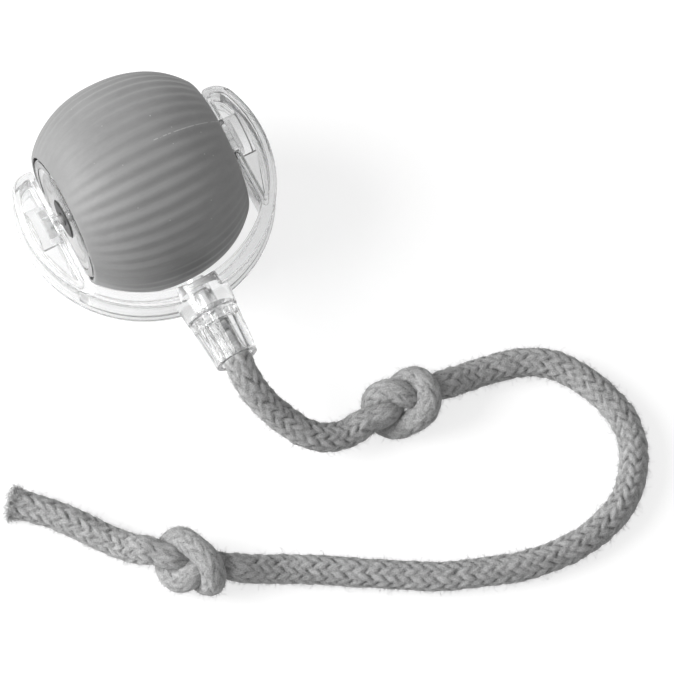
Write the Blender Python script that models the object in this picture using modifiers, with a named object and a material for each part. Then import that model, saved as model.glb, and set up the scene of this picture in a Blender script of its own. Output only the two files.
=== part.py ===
"""Self-rolling cat ball: a ribbed silicone-sleeved ball that turns about a fixed axle,
driven from inside, with a clear yoke, a swivel and a knotted toy rope.

Frame: the origin lies on the floor straight under the middle of the ball, X runs along
the axle, the yoke's stem points to -Y and Z is up. Units are metres.
"""

import math

import bmesh
import bpy
import numpy as np
from mathutils import Matrix, Vector

MM = 0.001
WELD = 0.005 * MM
CUT_OVERRUN = 1.0 * MM
FIT_GAP = 0.3 * MM

# Ball: a barrel of silicone over two clear half shells
ball_radius = 21.5 * MM
ball_half_length = 17.5 * MM
ball_end_radius = 13.4 * MM
barrel_power_share = 2.2
sleeve_wall = 1.8 * MM
sleeve_lip = 0.9 * MM
rib_count = 44
rib_height = 0.35 * MM
rib_fade_share = 0.92
resting_flat_depth = 0.2 * MM
shell_wall = 1.3 * MM
shell_end_wall = 1.3 * MM
shell_end_inset = 0.5 * MM
shell_parting = 0.3 * MM
lap_wall = 0.8 * MM
lap_reach = 2.0 * MM
lap_root = 2.5 * MM
lap_gap = 0.3 * MM
bearing_lip = 1.5 * MM
bearing_tube_wall = 1.0 * MM
bearing_tube_length = 2.3 * MM
bearing_shoulder = 0.6 * MM
round_steps = 40
axis_mark_size = 5.0 * MM

# Gear train: teeth and the places of its wheels, inwards from the chassis's end disc
ring_teeth = 58
spur_teeth = 14
wheel_teeth = 22
pinion_teeth = 8
tooth_share = 0.4
addendum_share = 0.9
dedendum_share = 1.2
flank_share = 0.36
ring_rim = 1.4 * MM
ring_wall_gap = 1.6 * MM
ring_end_gap = 0.5 * MM
ring_width = 2.8 * MM
ring_shoulder = 1.0 * MM
spur_inset = 0.1 * MM
spur_wheel_gap = 0.8 * MM
wheel_width = 1.7 * MM
wheel_upright_gap = 0.5 * MM
pinion_overlap = 0.1 * MM
gear_hub_radius = 2.2 * MM
gear_shaft_radius = 0.75 * MM
gear_bore_gap = 0.15 * MM
motor_shaft_radius = 0.5 * MM
shaft_hole_gap = 0.5 * MM

# Chassis: a deck between two flange discs, with an upright for the gears
chassis_flange_gap = 0.3 * MM
chassis_end_gap = 7.1 * MM
chassis_flange_width = 1.2 * MM
deck_half_width = 8.0 * MM
deck_motor_gap = 0.2 * MM
deck_thickness = 1.2 * MM
upright_width = 1.2 * MM
upright_half_width = 3.2 * MM
upright_above_shaft = 2.2 * MM

# Motor, battery and their leads
motor_radius = 4.0 * MM
motor_end_gap = 2.6 * MM
battery_half_width = 8.0 * MM
battery_height = 6.1 * MM
battery_end_gap = 1.3 * MM
battery_tab_gap = 2.2 * MM
battery_edge = 1.2 * MM
pad_thickness = 0.7 * MM
pad_margin = 1.5 * MM
lead_radius = 0.45 * MM
lead_hole_radius = 0.8 * MM
motor_lead_side = 4.5 * MM
motor_lead_terminal = 2.0 * MM
motor_lead_upper_share = 0.6
motor_lead_lower_share = 0.3
motor_lead_lift = 0.6 * MM
battery_lead_side = 1.6 * MM
battery_lead_inset = 2.4 * MM

# Fixed ends: plates, bushes, bearing rings and axle pins
end_plate_gap = 0.4 * MM
end_plate_width = 1.0 * MM
end_plate_inset = 0.6 * MM
hub_ring_step = 1.4 * MM
hub_ring_wall = 0.8 * MM
hub_ring_gap = 0.3 * MM
bearing_ring_gap = 0.1 * MM
bearing_ring_margin = 0.2 * MM
bearing_ring_length = 2.0 * MM
bush_radius = 3.85 * MM
bush_stand = 0.2 * MM
bush_length = 4.5 * MM
axle_radius = 1.2 * MM
axle_stand = 0.4 * MM
axle_key_inset = 1.0 * MM
axle_key_length = 1.5 * MM
axle_key_height = 4.6 * MM
axle_key_width = 1.1 * MM
post_radius = 1.8 * MM
post_side = 7.2 * MM
post_above_deck = 2.3 * MM
plate_screw_radius = 0.8 * MM
plate_screw_length = 5.0 * MM
screw_head_radius = 1.5 * MM
screw_head_height = 0.7 * MM

# Circuit board and what it carries at the right-hand end
board_gap = 0.4 * MM
board_thickness = 1.0 * MM
board_screw_side = 5.6 * MM
board_screw_z = -4.2 * MM
board_screw_radius = 0.5 * MM
board_screw_head_radius = 0.95 * MM
board_screw_head_height = 0.5 * MM
port_height = 2.4 * MM
port_half_width = 3.6 * MM
port_top = -4.9 * MM
port_wall = 0.35 * MM
port_inset = 0.4 * MM
port_tongue = 0.6 * MM
button_z = 6.4 * MM
button_radius = 1.4 * MM
button_flange_radius = 1.9 * MM
button_flange_width = 1.0 * MM
button_tip_length = 0.5 * MM
button_travel = 0.5 * MM
button_stand = 0.4 * MM
switch_half_y = 2.0 * MM
switch_half_z = 1.5 * MM
switch_height = 1.5 * MM
led_y = 3.8 * MM
led_z = 5.4 * MM
led_half_y = 0.9 * MM
led_half_z = 0.5 * MM
led_height = 1.0 * MM

# Clear yoke round the ball, with a stem that carries the swivel
stem_droop = math.radians(5)
yoke_half_height = 4.8 * MM
yoke_gap = 3.1 * MM
yoke_front_wall = 3.25 * MM
yoke_inner_centre = 0.2 * MM
ear_gap = 1.1 * MM
ear_wall = 1.3 * MM
ear_width = 6.2 * MM
ear_shoulder = 6.0 * MM
ear_back = 10.5 * MM
ear_corner = 4.5 * MM
ear_inner_corner = 0.8 * MM
rim_wall = 1.6 * MM
pocket_front_wall = 0.7 * MM
web_thickness = 1.2 * MM
boss_radius = 4.4 * MM
boss_length = 5.0 * MM
boss_overlap = 0.6 * MM
key_slot_depth = 2.8 * MM
key_gap = 0.3 * MM
groove_half_width = 3.2 * MM
groove_depth = 0.5 * MM
collar_base_step = 0.7 * MM
collar_tip_step = 0.1 * MM
collar_reach = 3.45 * MM
collar_sunk = 2.65 * MM
collar_floor_depth = 1.75 * MM
collar_neck_reach = 2.15 * MM
washer_recess_radius = 4.4 * MM
washer_radius = 4.0 * MM
washer_thickness = 1.1 * MM
swivel_bore_radius = 1.5 * MM
swivel_screw_radius = 1.2 * MM
swivel_head_radius = 2.2 * MM
swivel_head_height = 1.1 * MM
swivel_screw_stop = 0.2 * MM
cap_length = 9.9 * MM
cap_base_wall = 2.3 * MM
cap_tip_wall = 1.55 * MM
cap_neck_radius = 3.3 * MM
cap_floor_wall = 1.6 * MM
cap_flutes = 12
cap_flute_depth = 0.45 * MM
cap_edge = 0.4 * MM

# Toy rope: diameter, knots and its route over the floor
rope_radius = 2.9 * MM
rope_floor_gap = 0.1 * MM
rope_point_spacing = 8.5 * MM
lead_point_spacing = 5.2 * MM
knot_spacing_share = 1.414
knot_reach_share = 2.2
knot_clear_gap = 0.55 * MM
near_knot_roll = math.radians(200)
far_knot_roll = math.radians(130)
far_knot_sag = 1.0 * MM
knot_flare = 1.6 * MM

# Height of the ball's middle and sizes that follow from the ones above
ball_height = ball_radius - resting_flat_depth
sleeve_inner_radius = ball_radius - sleeve_wall
sleeve_opening = ball_end_radius - sleeve_lip
shell_outer_radius = sleeve_inner_radius - FIT_GAP
shell_inner_radius = shell_outer_radius - shell_wall
shell_outer_end = ball_half_length - shell_end_inset
shell_inner_end = shell_outer_end - shell_end_wall
bearing_bore_radius = sleeve_opening - bearing_lip
shell_end_radius = bearing_bore_radius + bearing_tube_wall + bearing_shoulder
end_plate_outer = ball_half_length - end_plate_inset
plate_inner = end_plate_outer - end_plate_width
end_plate_radius = bearing_bore_radius - end_plate_gap
hub_ring_radius = bearing_bore_radius - hub_ring_step
chassis_flange_radius = hub_ring_radius - chassis_flange_gap
chassis_flange_start = plate_inner - chassis_end_gap
pitch_share = 0.5
gear_module = (shell_inner_radius - ring_wall_gap - ring_rim) / (
    ring_teeth * pitch_share + dedendum_share
)
ring_pitch = ring_teeth * gear_module * pitch_share
spur_pitch = spur_teeth * gear_module * pitch_share
wheel_pitch = wheel_teeth * gear_module * pitch_share
pinion_pitch = pinion_teeth * gear_module * pitch_share
gear_shaft_z = ring_pitch - spur_pitch
motor_z = gear_shaft_z - wheel_pitch - pinion_pitch
ring_root = ring_pitch + dedendum_share * gear_module
ring_outer = ring_root + ring_rim
ring_end = chassis_flange_start - ring_end_gap
ring_start = ring_end - ring_width
wheel_end = ring_start - spur_wheel_gap
wheel_start = wheel_end - wheel_width
upright_end = wheel_start - wheel_upright_gap
upright_start = upright_end - upright_width
flange_end = chassis_flange_start + chassis_flange_width
lobe_top = gear_shaft_z + upright_above_shaft
deck_top = motor_z - motor_radius - deck_motor_gap
deck_bottom = deck_top - deck_thickness
post_z = deck_top + post_above_deck
pad_top = deck_bottom - FIT_GAP
pad_bottom = pad_top - pad_thickness
battery_top = pad_bottom - FIT_GAP
battery_bottom = battery_top - battery_height
battery_lead_drop = battery_lead_inset - battery_top
battery_left = -(chassis_flange_start - battery_end_gap)
battery_right = chassis_flange_start - battery_tab_gap
motor_front = upright_start - FIT_GAP
motor_back = motor_end_gap - chassis_flange_start
hub_ring_start = flange_end + hub_ring_gap
board_start = flange_end + board_gap
board_end = board_start + board_thickness
board_radius = hub_ring_radius - hub_ring_wall - board_gap
on_board = board_end + FIT_GAP
port_bottom = port_top - port_height
port_outer = end_plate_outer - port_inset
button_tip_start = on_board + switch_height + button_travel
button_flange_start = button_tip_start + button_tip_length
button_end = end_plate_outer + button_stand
bush_start = end_plate_outer + bush_stand - bush_length
axle_start = bush_start - axle_stand
ear_inner_wall = ball_half_length + ear_gap
axle_key_start = ear_inner_wall + axle_key_inset
key_slot_end = ear_inner_wall + key_slot_depth
boss_end = ear_inner_wall + boss_length
ear_outer_wall = ear_inner_wall + ear_width
yoke_inner_radius = ball_radius + yoke_gap - yoke_inner_centre
yoke_front = ball_radius + yoke_gap + yoke_front_wall
yoke_outer_centre = (yoke_front**2 - ear_shoulder**2 - ear_outer_wall**2) / (
    2 * (yoke_front + ear_shoulder)
)
yoke_outer_radius = yoke_front - yoke_outer_centre
ear_corner_y = ear_back - ear_corner
ear_corner_x = math.sqrt(
    (yoke_outer_radius - ear_corner) ** 2 - (ear_corner_y + yoke_outer_centre) ** 2
)
wall_meets = math.sqrt(yoke_inner_radius**2 - ear_inner_wall**2)
pocket_back = ear_back - rim_wall
pocket_front = wall_meets - pocket_front_wall
collar_root = yoke_front - collar_sunk
collar_floor = yoke_front - collar_floor_depth
collar_neck = yoke_front + collar_neck_reach
collar_tip = yoke_front + collar_reach
cap_neck_start = collar_neck + FIT_GAP
cap_start = collar_tip + FIT_GAP
cap_end = cap_start + cap_length
cap_floor = cap_start + cap_floor_wall
cap_base_radius = rope_radius + cap_base_wall
cap_tip_radius = rope_radius + cap_tip_wall
collar_base_radius = cap_base_radius + collar_base_step
collar_tip_radius = cap_base_radius + collar_tip_step
swivel_screw_end = cap_floor - swivel_screw_stop
knot_spacing = rope_radius * knot_spacing_share


def clear_scene():
    """Remove every object that the open file holds."""
    for obj in list(bpy.data.objects):
        bpy.data.objects.remove(obj, do_unlink=True)


def new_collection(name):
    made = bpy.data.collections.new(name)
    bpy.context.scene.collection.children.link(made)
    return made


clear_scene()
parts = new_collection("self_rolling_cat_ball")
cutters = new_collection("cutters")


def finish(colour, roughness, metallic=0.0, clear=0.0):
    """The look of one piece: linear colour, roughness, metal and how far it is see-through."""
    return {"colour": colour, "roughness": roughness, "metallic": metallic, "clear": clear}


CLEAR_PLASTIC = finish((0.86, 0.88, 0.88), 0.12, clear=0.9)
GRAY_SILICONE = finish((0.30, 0.30, 0.31), 0.55)
BLACK_PLASTIC = finish((0.02, 0.02, 0.022), 0.4)
WHITE_PLASTIC = finish((0.78, 0.78, 0.76), 0.35)
BRIGHT_STEEL = finish((0.62, 0.63, 0.64), 0.25, metallic=1.0)
GRAY_ROPE = finish((0.42, 0.42, 0.41), 0.95)
GREEN_BOARD = finish((0.02, 0.14, 0.06), 0.45)
SILVER_FOIL = finish((0.55, 0.56, 0.58), 0.35, metallic=1.0)
GRAY_FOAM = finish((0.12, 0.12, 0.12), 0.9)
RED_WIRE = finish((0.5, 0.02, 0.02), 0.45)
BLACK_WIRE = finish((0.015, 0.015, 0.015), 0.45)


def paint(obj, look):
    """Give the object a material of its own."""
    made = bpy.data.materials.new(obj.name)
    made.use_nodes = True
    shader = made.node_tree.nodes["Principled BSDF"]
    shader.inputs["Base Color"].default_value = (*look["colour"], 1)
    shader.inputs["Roughness"].default_value = look["roughness"]
    shader.inputs["Metallic"].default_value = look["metallic"]
    shader.inputs["Transmission Weight"].default_value = look["clear"]
    obj.data.materials.clear()
    obj.data.materials.append(made)


def frame_empty(name, place, parent=None, turn=(0, 0, 0)):
    """An empty that carries the pieces of one body, on that body's axis."""
    empty = bpy.data.objects.new(name, None)
    empty.empty_display_size = axis_mark_size
    parts.objects.link(empty)
    empty.parent = parent
    empty.location = place
    empty.rotation_euler = turn
    return empty


core = frame_empty("core_frame", (0, 0, ball_height))
ball = frame_empty("ball_spin_axis", (0, 0, ball_height))
reduction = frame_empty("reduction_axis", (0, 0, gear_shaft_z), core)
pinion = frame_empty("pinion_axis", (0, 0, motor_z), core)
button = frame_empty("button_axis", (0, 0, button_z), core)
yoke = frame_empty("yoke_frame", (0, 0, 0), core, (stem_droop, 0, 0))
swivel = frame_empty("swivel_axis", (0, 0, 0), yoke)

ALONG = {
    "x": Matrix.Rotation(math.radians(90), 4, "Y"),
    "y": Matrix.Rotation(math.radians(90), 4, "X"),
    "z": Matrix.Identity(4),
}


def place(mesh, name, parent, look=None):
    """Link a mesh as a part where a look is given, and as a cutter where it isn't."""
    obj = bpy.data.objects.new(name, mesh)
    (parts if look else cutters).objects.link(obj)
    obj.parent = parent
    mesh.shade_smooth()
    mesh.set_sharp_from_angle(angle=math.radians(32))
    if look:
        paint(obj, look)
    else:
        obj.hide_render = True
        obj.display_type = "WIRE"
    return obj


def mesh_of(obj):
    """The evaluated object as a plain mesh, with its caps welded and its faces turned out."""
    bpy.context.view_layer.update()
    graph = bpy.context.evaluated_depsgraph_get()
    mesh = bpy.data.meshes.new_from_object(obj.evaluated_get(graph), depsgraph=graph)
    shape = bmesh.new()
    shape.from_mesh(mesh)
    bmesh.ops.remove_doubles(shape, verts=shape.verts, dist=WELD)
    bmesh.ops.recalc_face_normals(shape, faces=shape.faces)
    shape.to_mesh(mesh)
    shape.free()
    return mesh


def turned(name, profile, parent, look=None, along="x", at=(0, 0, 0), steps=round_steps):
    """Turn (place along the axis, radius) points about the axis with a Screw modifier."""
    points = list(profile)
    area = sum(
        a[1] * b[0] - b[1] * a[0] for a, b in zip(points, points[1:] + points[:1])
    )
    if area > 0:
        points.reverse()
    on_axis = [i for i, point in enumerate(points) if point[1] == 0]
    if on_axis:
        start = next(i for i in on_axis if points[i - 1][1] == 0)
        points = points[start:] + points[:start]
    shape = bmesh.new()
    verts = [shape.verts.new((radius, 0, along_axis)) for along_axis, radius in points]
    links = list(zip(verts, verts[1:]))
    if not on_axis:
        links.append((verts[-1], verts[0]))
    for pair in links:
        shape.edges.new(pair)
    mesh = bpy.data.meshes.new(name)
    shape.to_mesh(mesh)
    shape.free()
    obj = place(mesh, name, parent, look)
    obj.location = at
    obj.rotation_euler = ALONG[along].to_euler()
    screw = obj.modifiers.new("turn", "SCREW")
    screw.steps = steps
    screw.render_steps = steps
    screw.use_merge_vertices = True
    screw.merge_threshold = WELD
    screw.use_normal_calculate = False
    return obj


def rod(name, start, end, radius, parent, look=None, along="x", at=(0, 0, 0), steps=24):
    """A plain cylinder between two places along an axis."""
    shape = bmesh.new()
    bmesh.ops.create_cone(
        shape,
        cap_ends=True,
        segments=steps,
        radius1=radius,
        radius2=radius,
        depth=end - start,
    )
    mesh = bpy.data.meshes.new(name)
    shape.to_mesh(mesh)
    shape.free()
    mesh.transform(Matrix.Translation((0, 0, (start + end) / 2)))
    obj = place(mesh, name, parent, look)
    obj.location = at
    obj.rotation_euler = ALONG[along].to_euler()
    return obj


def block(name, low, high, parent, look=None, edge=0.0):
    """A box between two corners, with its edges rounded where an edge radius is given."""
    low = Vector(low)
    high = Vector(high)
    shape = bmesh.new()
    bmesh.ops.create_cube(shape, size=1)
    mesh = bpy.data.meshes.new(name)
    shape.to_mesh(mesh)
    shape.free()
    mesh.transform(Matrix.Diagonal((*(high - low), 1)))
    obj = place(mesh, name, parent, look)
    obj.location = (low + high) / 2
    if edge:
        bevel = obj.modifiers.new("edges", "BEVEL")
        bevel.width = edge
        bevel.segments = 2
    return obj


def flat(name, outlines, start, end, parent, look=None, along="z", at=(0, 0, 0)):
    """Extrude flat closed outlines; the ones inside the first are its holes."""
    curve = bpy.data.curves.new(name, "CURVE")
    curve.dimensions = "2D"
    curve.fill_mode = "BOTH"
    curve.extrude = (end - start) / 2
    for outline in outlines:
        spline = curve.splines.new("POLY")
        spline.points.add(len(outline) - 1)
        for point, (across, up) in zip(spline.points, outline):
            point.co = (across, up, 0, 1)
        spline.use_cyclic_u = True
    guide = bpy.data.objects.new(name + "_outline", curve)
    cutters.objects.link(guide)
    mesh = mesh_of(guide)
    bpy.data.objects.remove(guide, do_unlink=True)
    mesh.transform(Matrix.Translation((0, 0, (start + end) / 2)))
    obj = place(mesh, name, parent, look)
    obj.location = at
    obj.rotation_euler = ALONG[along].to_euler()
    return obj


def tube(name, route, radii, parent, look, resolution=2):
    """A round tube with filled caps along a route, with a radius for each of its points."""
    curve = bpy.data.curves.new(name, "CURVE")
    curve.dimensions = "3D"
    curve.bevel_depth = max(radii)
    curve.bevel_resolution = resolution
    curve.use_fill_caps = True
    spline = curve.splines.new("POLY")
    spline.points.add(len(route) - 1)
    for point, spot, radius in zip(spline.points, route, radii):
        point.co = (*spot, 1)
        point.radius = radius / max(radii)
    obj = bpy.data.objects.new(name, curve)
    parts.objects.link(obj)
    obj.parent = parent
    paint(obj, look)
    return obj


def boolean(target, tool, operation):
    step = target.modifiers.new(operation.lower() + "_" + tool.name, "BOOLEAN")
    step.operation = operation
    step.solver = "EXACT"
    step.object = tool


def cut(target, *tools):
    for tool in tools:
        boolean(target, tool, "DIFFERENCE")


def join(target, *tools):
    for tool in tools:
        boolean(target, tool, "UNION")


def circle(radius, steps, centre=(0, 0)):
    """Points round a circle."""
    angles = (math.tau * step / steps for step in range(steps))
    return [
        (centre[0] + radius * math.cos(a), centre[1] + radius * math.sin(a))
        for a in angles
    ]


def rectangle(low, high):
    return [(low[0], low[1]), (high[0], low[1]), (high[0], high[1]), (low[0], high[1])]


def arc(radius, centre, first, last, steps):
    """Points of an arc from one angle to another, both ends included."""
    turns = (first + (last - first) * step / steps for step in range(steps + 1))
    return [
        (centre[0] + radius * math.cos(a), centre[1] + radius * math.sin(a))
        for a in turns
    ]


def barrel(belly, end_radius, end, places):
    """A super-elliptic barrel profile that has its end radius at its end."""
    power = barrel_power_share
    reach = end / (1 - (end_radius / belly) ** power) ** (1 / power)
    return [(x, belly * (1 - (abs(x) / reach) ** power) ** (1 / power)) for x in places]


def spread(first, last, count):
    """Even places from first to last, eased so that they crowd towards the ends."""
    middle = (first + last) / 2
    half = (last - first) / 2
    turns = (math.pi / 2 * (2 * step / count - 1) for step in range(count + 1))
    return [middle + half * (0.55 * math.sin(t) + 0.45 * t / (math.pi / 2)) for t in turns]


def gear_outline(teeth, inside=False, phase_share=0.0):
    """Straight-sided teeth about the pitch circle, pointing inwards on a ring gear."""
    pitch = teeth * gear_module * pitch_share
    out = -1 if inside else 1
    tip = pitch + out * addendum_share * gear_module
    root = pitch - out * dedendum_share * gear_module
    half = tooth_share * math.pi * gear_module / 2
    half_tip = half - flank_share * addendum_share * gear_module
    half_root = half + flank_share * dedendum_share * gear_module
    points = []
    for tooth in range(teeth):
        middle = math.tau * (tooth + phase_share) / teeth
        for radius, side in (
            (root, -half_root),
            (tip, -half_tip),
            (tip, half_tip),
            (root, half_root),
        ):
            angle = middle + side / radius
            points.append((radius * math.cos(angle), radius * math.sin(angle)))
    return points


# Silicone sleeve: ribs run from end to end, and the lowest one is pressed flat
sleeve_profile = barrel(
    ball_radius,
    ball_end_radius,
    ball_half_length,
    spread(-ball_half_length, ball_half_length, 12),
)
sleeve_profile += barrel(
    sleeve_inner_radius,
    sleeve_opening,
    ball_half_length,
    reversed(spread(-ball_half_length, ball_half_length, 8)),
)
turning = turned("sleeve_blank", sleeve_profile, ball, steps=2 * rib_count)
sleeve_mesh = mesh_of(turning)
for vertex in sleeve_mesh.vertices:
    radius = math.hypot(vertex.co.x, vertex.co.y)
    angle = math.atan2(vertex.co.y, vertex.co.x)
    wall = barrel(ball_radius, ball_end_radius, ball_half_length, [vertex.co.z])[0][1]
    if radius > wall - rib_height and abs(vertex.co.z) < ball_half_length - WELD:
        end_share = abs(vertex.co.z) / (rib_fade_share * ball_half_length)
        fade = max(0.0, 1 - end_share**6)
        dip = rib_height * fade * (1 - math.cos(rib_count * angle)) / 2
        vertex.co.x -= dip * math.cos(angle)
        vertex.co.y -= dip * math.sin(angle)
bpy.data.objects.remove(turning, do_unlink=True)
sleeve = place(sleeve_mesh, "silicone_sleeve", ball, GRAY_SILICONE)
sleeve.rotation_euler = ALONG["x"].to_euler()
floor_cut = block(
    "floor_cut",
    (-ball_half_length, -ball_radius, -ball_radius - CUT_OVERRUN),
    (ball_half_length, ball_radius, -ball_height),
    ball,
)
cut(sleeve, floor_cut)

# Clear half shells: the left one has the lap lip, the right one the ring gear's seat
half_parting = shell_parting / 2


def shell_inside(x):
    """The inner wall's radius of a half shell, that far from the ball's middle."""
    return barrel(shell_inner_radius, shell_end_radius, shell_inner_end, [x])[0][1]


for side, hand in (("left", -1), ("right", 1)):
    outer_wall = barrel(
        shell_outer_radius,
        shell_end_radius,
        shell_outer_end,
        spread(half_parting, shell_outer_end, 7),
    )
    inner_wall = barrel(
        shell_inner_radius,
        shell_end_radius,
        shell_inner_end,
        spread(half_parting, shell_inner_end, 5),
    )
    profile = outer_wall + [
        (shell_outer_end, bearing_bore_radius),
        (shell_inner_end - bearing_tube_length, bearing_bore_radius),
        (shell_inner_end - bearing_tube_length, bearing_bore_radius + bearing_tube_wall),
        (shell_inner_end, bearing_bore_radius + bearing_tube_wall),
    ]
    if side == "right":
        seat_radius = ring_outer + FIT_GAP
        seat_start = ring_start - FIT_GAP
        seat_stop = ring_end + FIT_GAP
        shoulder_end = seat_stop + ring_shoulder
        profile += [point for point in reversed(inner_wall) if point[0] > shoulder_end]
        profile += [
            (shoulder_end, shell_inside(shoulder_end)),
            (shoulder_end, ring_root + FIT_GAP),
            (seat_stop, ring_root + FIT_GAP),
            (seat_stop, seat_radius),
            (seat_start, seat_radius),
            (seat_start, shell_inside(seat_start)),
        ]
        profile += [point for point in reversed(inner_wall) if point[0] < seat_start]
    else:
        lap_outer = shell_inner_radius - lap_gap
        profile += [point for point in reversed(inner_wall) if point[0] > lap_root + WELD]
        profile += [
            (lap_root, shell_inside(lap_root)),
            (lap_root, lap_outer - lap_wall),
            (-lap_reach, lap_outer - lap_wall),
            (-lap_reach, lap_outer),
            (half_parting, lap_outer),
        ]
    profile = [(hand * x, radius) for x, radius in profile]
    turned("shell_" + side, profile, ball, CLEAR_PLASTIC)

# Ring gear seated in the right half shell
ring_outline = circle(ring_outer, ring_teeth)
ring_inside = gear_outline(ring_teeth, inside=True, phase_share=0.5)
flat(
    "ring_gear",
    [ring_outline, ring_inside],
    ring_start,
    ring_end,
    ball,
    WHITE_PLASTIC,
    along="x",
)

# Compound gear on the fixed gear shaft: a spur for the ring gear and a wheel for the pinion
gear_bore = circle(gear_shaft_radius + gear_bore_gap, 16)
wheel = flat(
    "reduction_gear",
    [gear_outline(wheel_teeth), gear_bore],
    wheel_start,
    wheel_end,
    reduction,
    WHITE_PLASTIC,
    along="x",
)
hub_join = pinion_overlap
hub_bore = gear_shaft_radius + gear_bore_gap + hub_join
spur = flat(
    "spur_blank",
    [gear_outline(spur_teeth), gear_bore],
    ring_start + spur_inset,
    ring_end - spur_inset,
    reduction,
    along="x",
)
hub = turned(
    "hub_blank",
    [
        (wheel_end - hub_join, gear_hub_radius),
        (wheel_end - hub_join, hub_bore),
        (ring_start + spur_inset + hub_join, hub_bore),
        (ring_start + spur_inset + hub_join, gear_hub_radius),
    ],
    reduction,
    steps=24,
)
join(wheel, hub, spur)

pinion_start = wheel_start - pinion_overlap
pinion_end = wheel_end + pinion_overlap
flat(
    "motor_pinion",
    [
        gear_outline(pinion_teeth, phase_share=0.5),
        circle(motor_shaft_radius + FIT_GAP, 12),
    ],
    pinion_start,
    pinion_end,
    pinion,
    BRIGHT_STEEL,
    along="x",
)
rod(
    "motor_shaft",
    motor_front + FIT_GAP,
    pinion_end + FIT_GAP,
    motor_shaft_radius,
    pinion,
    BRIGHT_STEEL,
    steps=12,
)
rod(
    "gear_shaft",
    upright_start,
    flange_end - FIT_GAP,
    gear_shaft_radius,
    reduction,
    BRIGHT_STEEL,
    steps=16,
)

# Chassis: upright discs, the deck between them and the gears' upright
shaft_hole = circle(gear_shaft_radius + FIT_GAP, 16, (-gear_shaft_z, 0))
lead_holes = [
    circle(lead_hole_radius, 12, (battery_lead_drop, hand * battery_lead_side))
    for hand in (-1, 1)
]
motor_lead_z = deck_top + lead_radius + motor_lead_lift
lead_holes += [
    circle(lead_hole_radius, 12, (-motor_lead_z, hand * motor_lead_side))
    for hand in (-1, 1)
]
plate_screw_holes = [
    circle(plate_screw_radius + FIT_GAP, 12, (-post_z, hand * post_side))
    for hand in (-1, 1)
]
board_screw_holes = [
    circle(board_screw_radius + FIT_GAP, 12, (-board_screw_z, hand * board_screw_side))
    for hand in (-1, 1)
]
disc_start = math.asin(upright_half_width / chassis_flange_radius)
disc_arc = arc(
    chassis_flange_radius, (0, 0), disc_start - math.pi, math.pi - disc_start, 28
)
right_flange_outline = disc_arc + [
    (-lobe_top, upright_half_width),
    (-lobe_top, -upright_half_width),
]
chassis = flat(
    "chassis_frame",
    [right_flange_outline, shaft_hole] + lead_holes + plate_screw_holes + board_screw_holes,
    chassis_flange_start,
    flange_end,
    core,
    WHITE_PLASTIC,
    along="x",
)
left_flange = flat(
    "left_flange_blank",
    [circle(chassis_flange_radius, 28)] + plate_screw_holes,
    -flange_end,
    -chassis_flange_start,
    core,
    along="x",
)
chassis_overlap = chassis_flange_width / 2
deck = block(
    "deck_blank",
    (-chassis_flange_start - chassis_overlap, -deck_half_width, deck_bottom),
    (chassis_flange_start + chassis_overlap, deck_half_width, deck_top),
    core,
)
upright = flat(
    "upright_blank",
    [
        rectangle(
            (-lobe_top, -upright_half_width),
            (-deck_top + deck_thickness / 2, upright_half_width),
        ),
        shaft_hole,
        circle(motor_shaft_radius + shaft_hole_gap, 12, (-motor_z, 0)),
    ],
    upright_start,
    upright_end,
    core,
    along="x",
)
join(chassis, deck, left_flange, upright)

# Battery under the deck with its foam pad, the motor above it, and their leads
block(
    "battery",
    (battery_left, -battery_half_width, battery_bottom),
    (battery_right, battery_half_width, battery_top),
    core,
    SILVER_FOIL,
    battery_edge,
)
block(
    "battery_pad",
    (battery_left + pad_margin, -battery_half_width + pad_margin, pad_bottom),
    (battery_right - pad_margin, battery_half_width - pad_margin, pad_top),
    core,
    GRAY_FOAM,
)
rod(
    "motor",
    motor_back,
    motor_front,
    motor_radius,
    core,
    BRIGHT_STEEL,
    at=(0, 0, motor_z),
    steps=32,
)
lead_end = board_start - FIT_GAP
for name, hand, look in (("red", 1, RED_WIRE), ("black", -1, BLACK_WIRE)):
    tube(
        "battery_lead_" + name,
        [
            (battery_right + FIT_GAP, hand * battery_lead_side, -battery_lead_drop),
            (lead_end, hand * battery_lead_side, -battery_lead_drop),
        ],
        [lead_radius] * 2,
        core,
        look,
        1,
    )
    behind = motor_back - 2 * lead_radius
    tube(
        "motor_lead_" + name,
        [
            (motor_back - FIT_GAP, hand * motor_lead_terminal, motor_z),
            (behind, hand * motor_lead_terminal, motor_z),
            (behind - lead_radius, hand * (motor_lead_terminal + lead_radius), motor_z),
            (behind - lead_radius, hand * motor_lead_side, motor_z * motor_lead_upper_share),
            (behind, hand * motor_lead_side, motor_z * motor_lead_lower_share),
            (motor_back, hand * motor_lead_side, motor_lead_z),
            (lead_end, hand * motor_lead_side, motor_lead_z),
        ],
        [lead_radius] * 7,
        core,
        look,
        1,
    )

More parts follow.
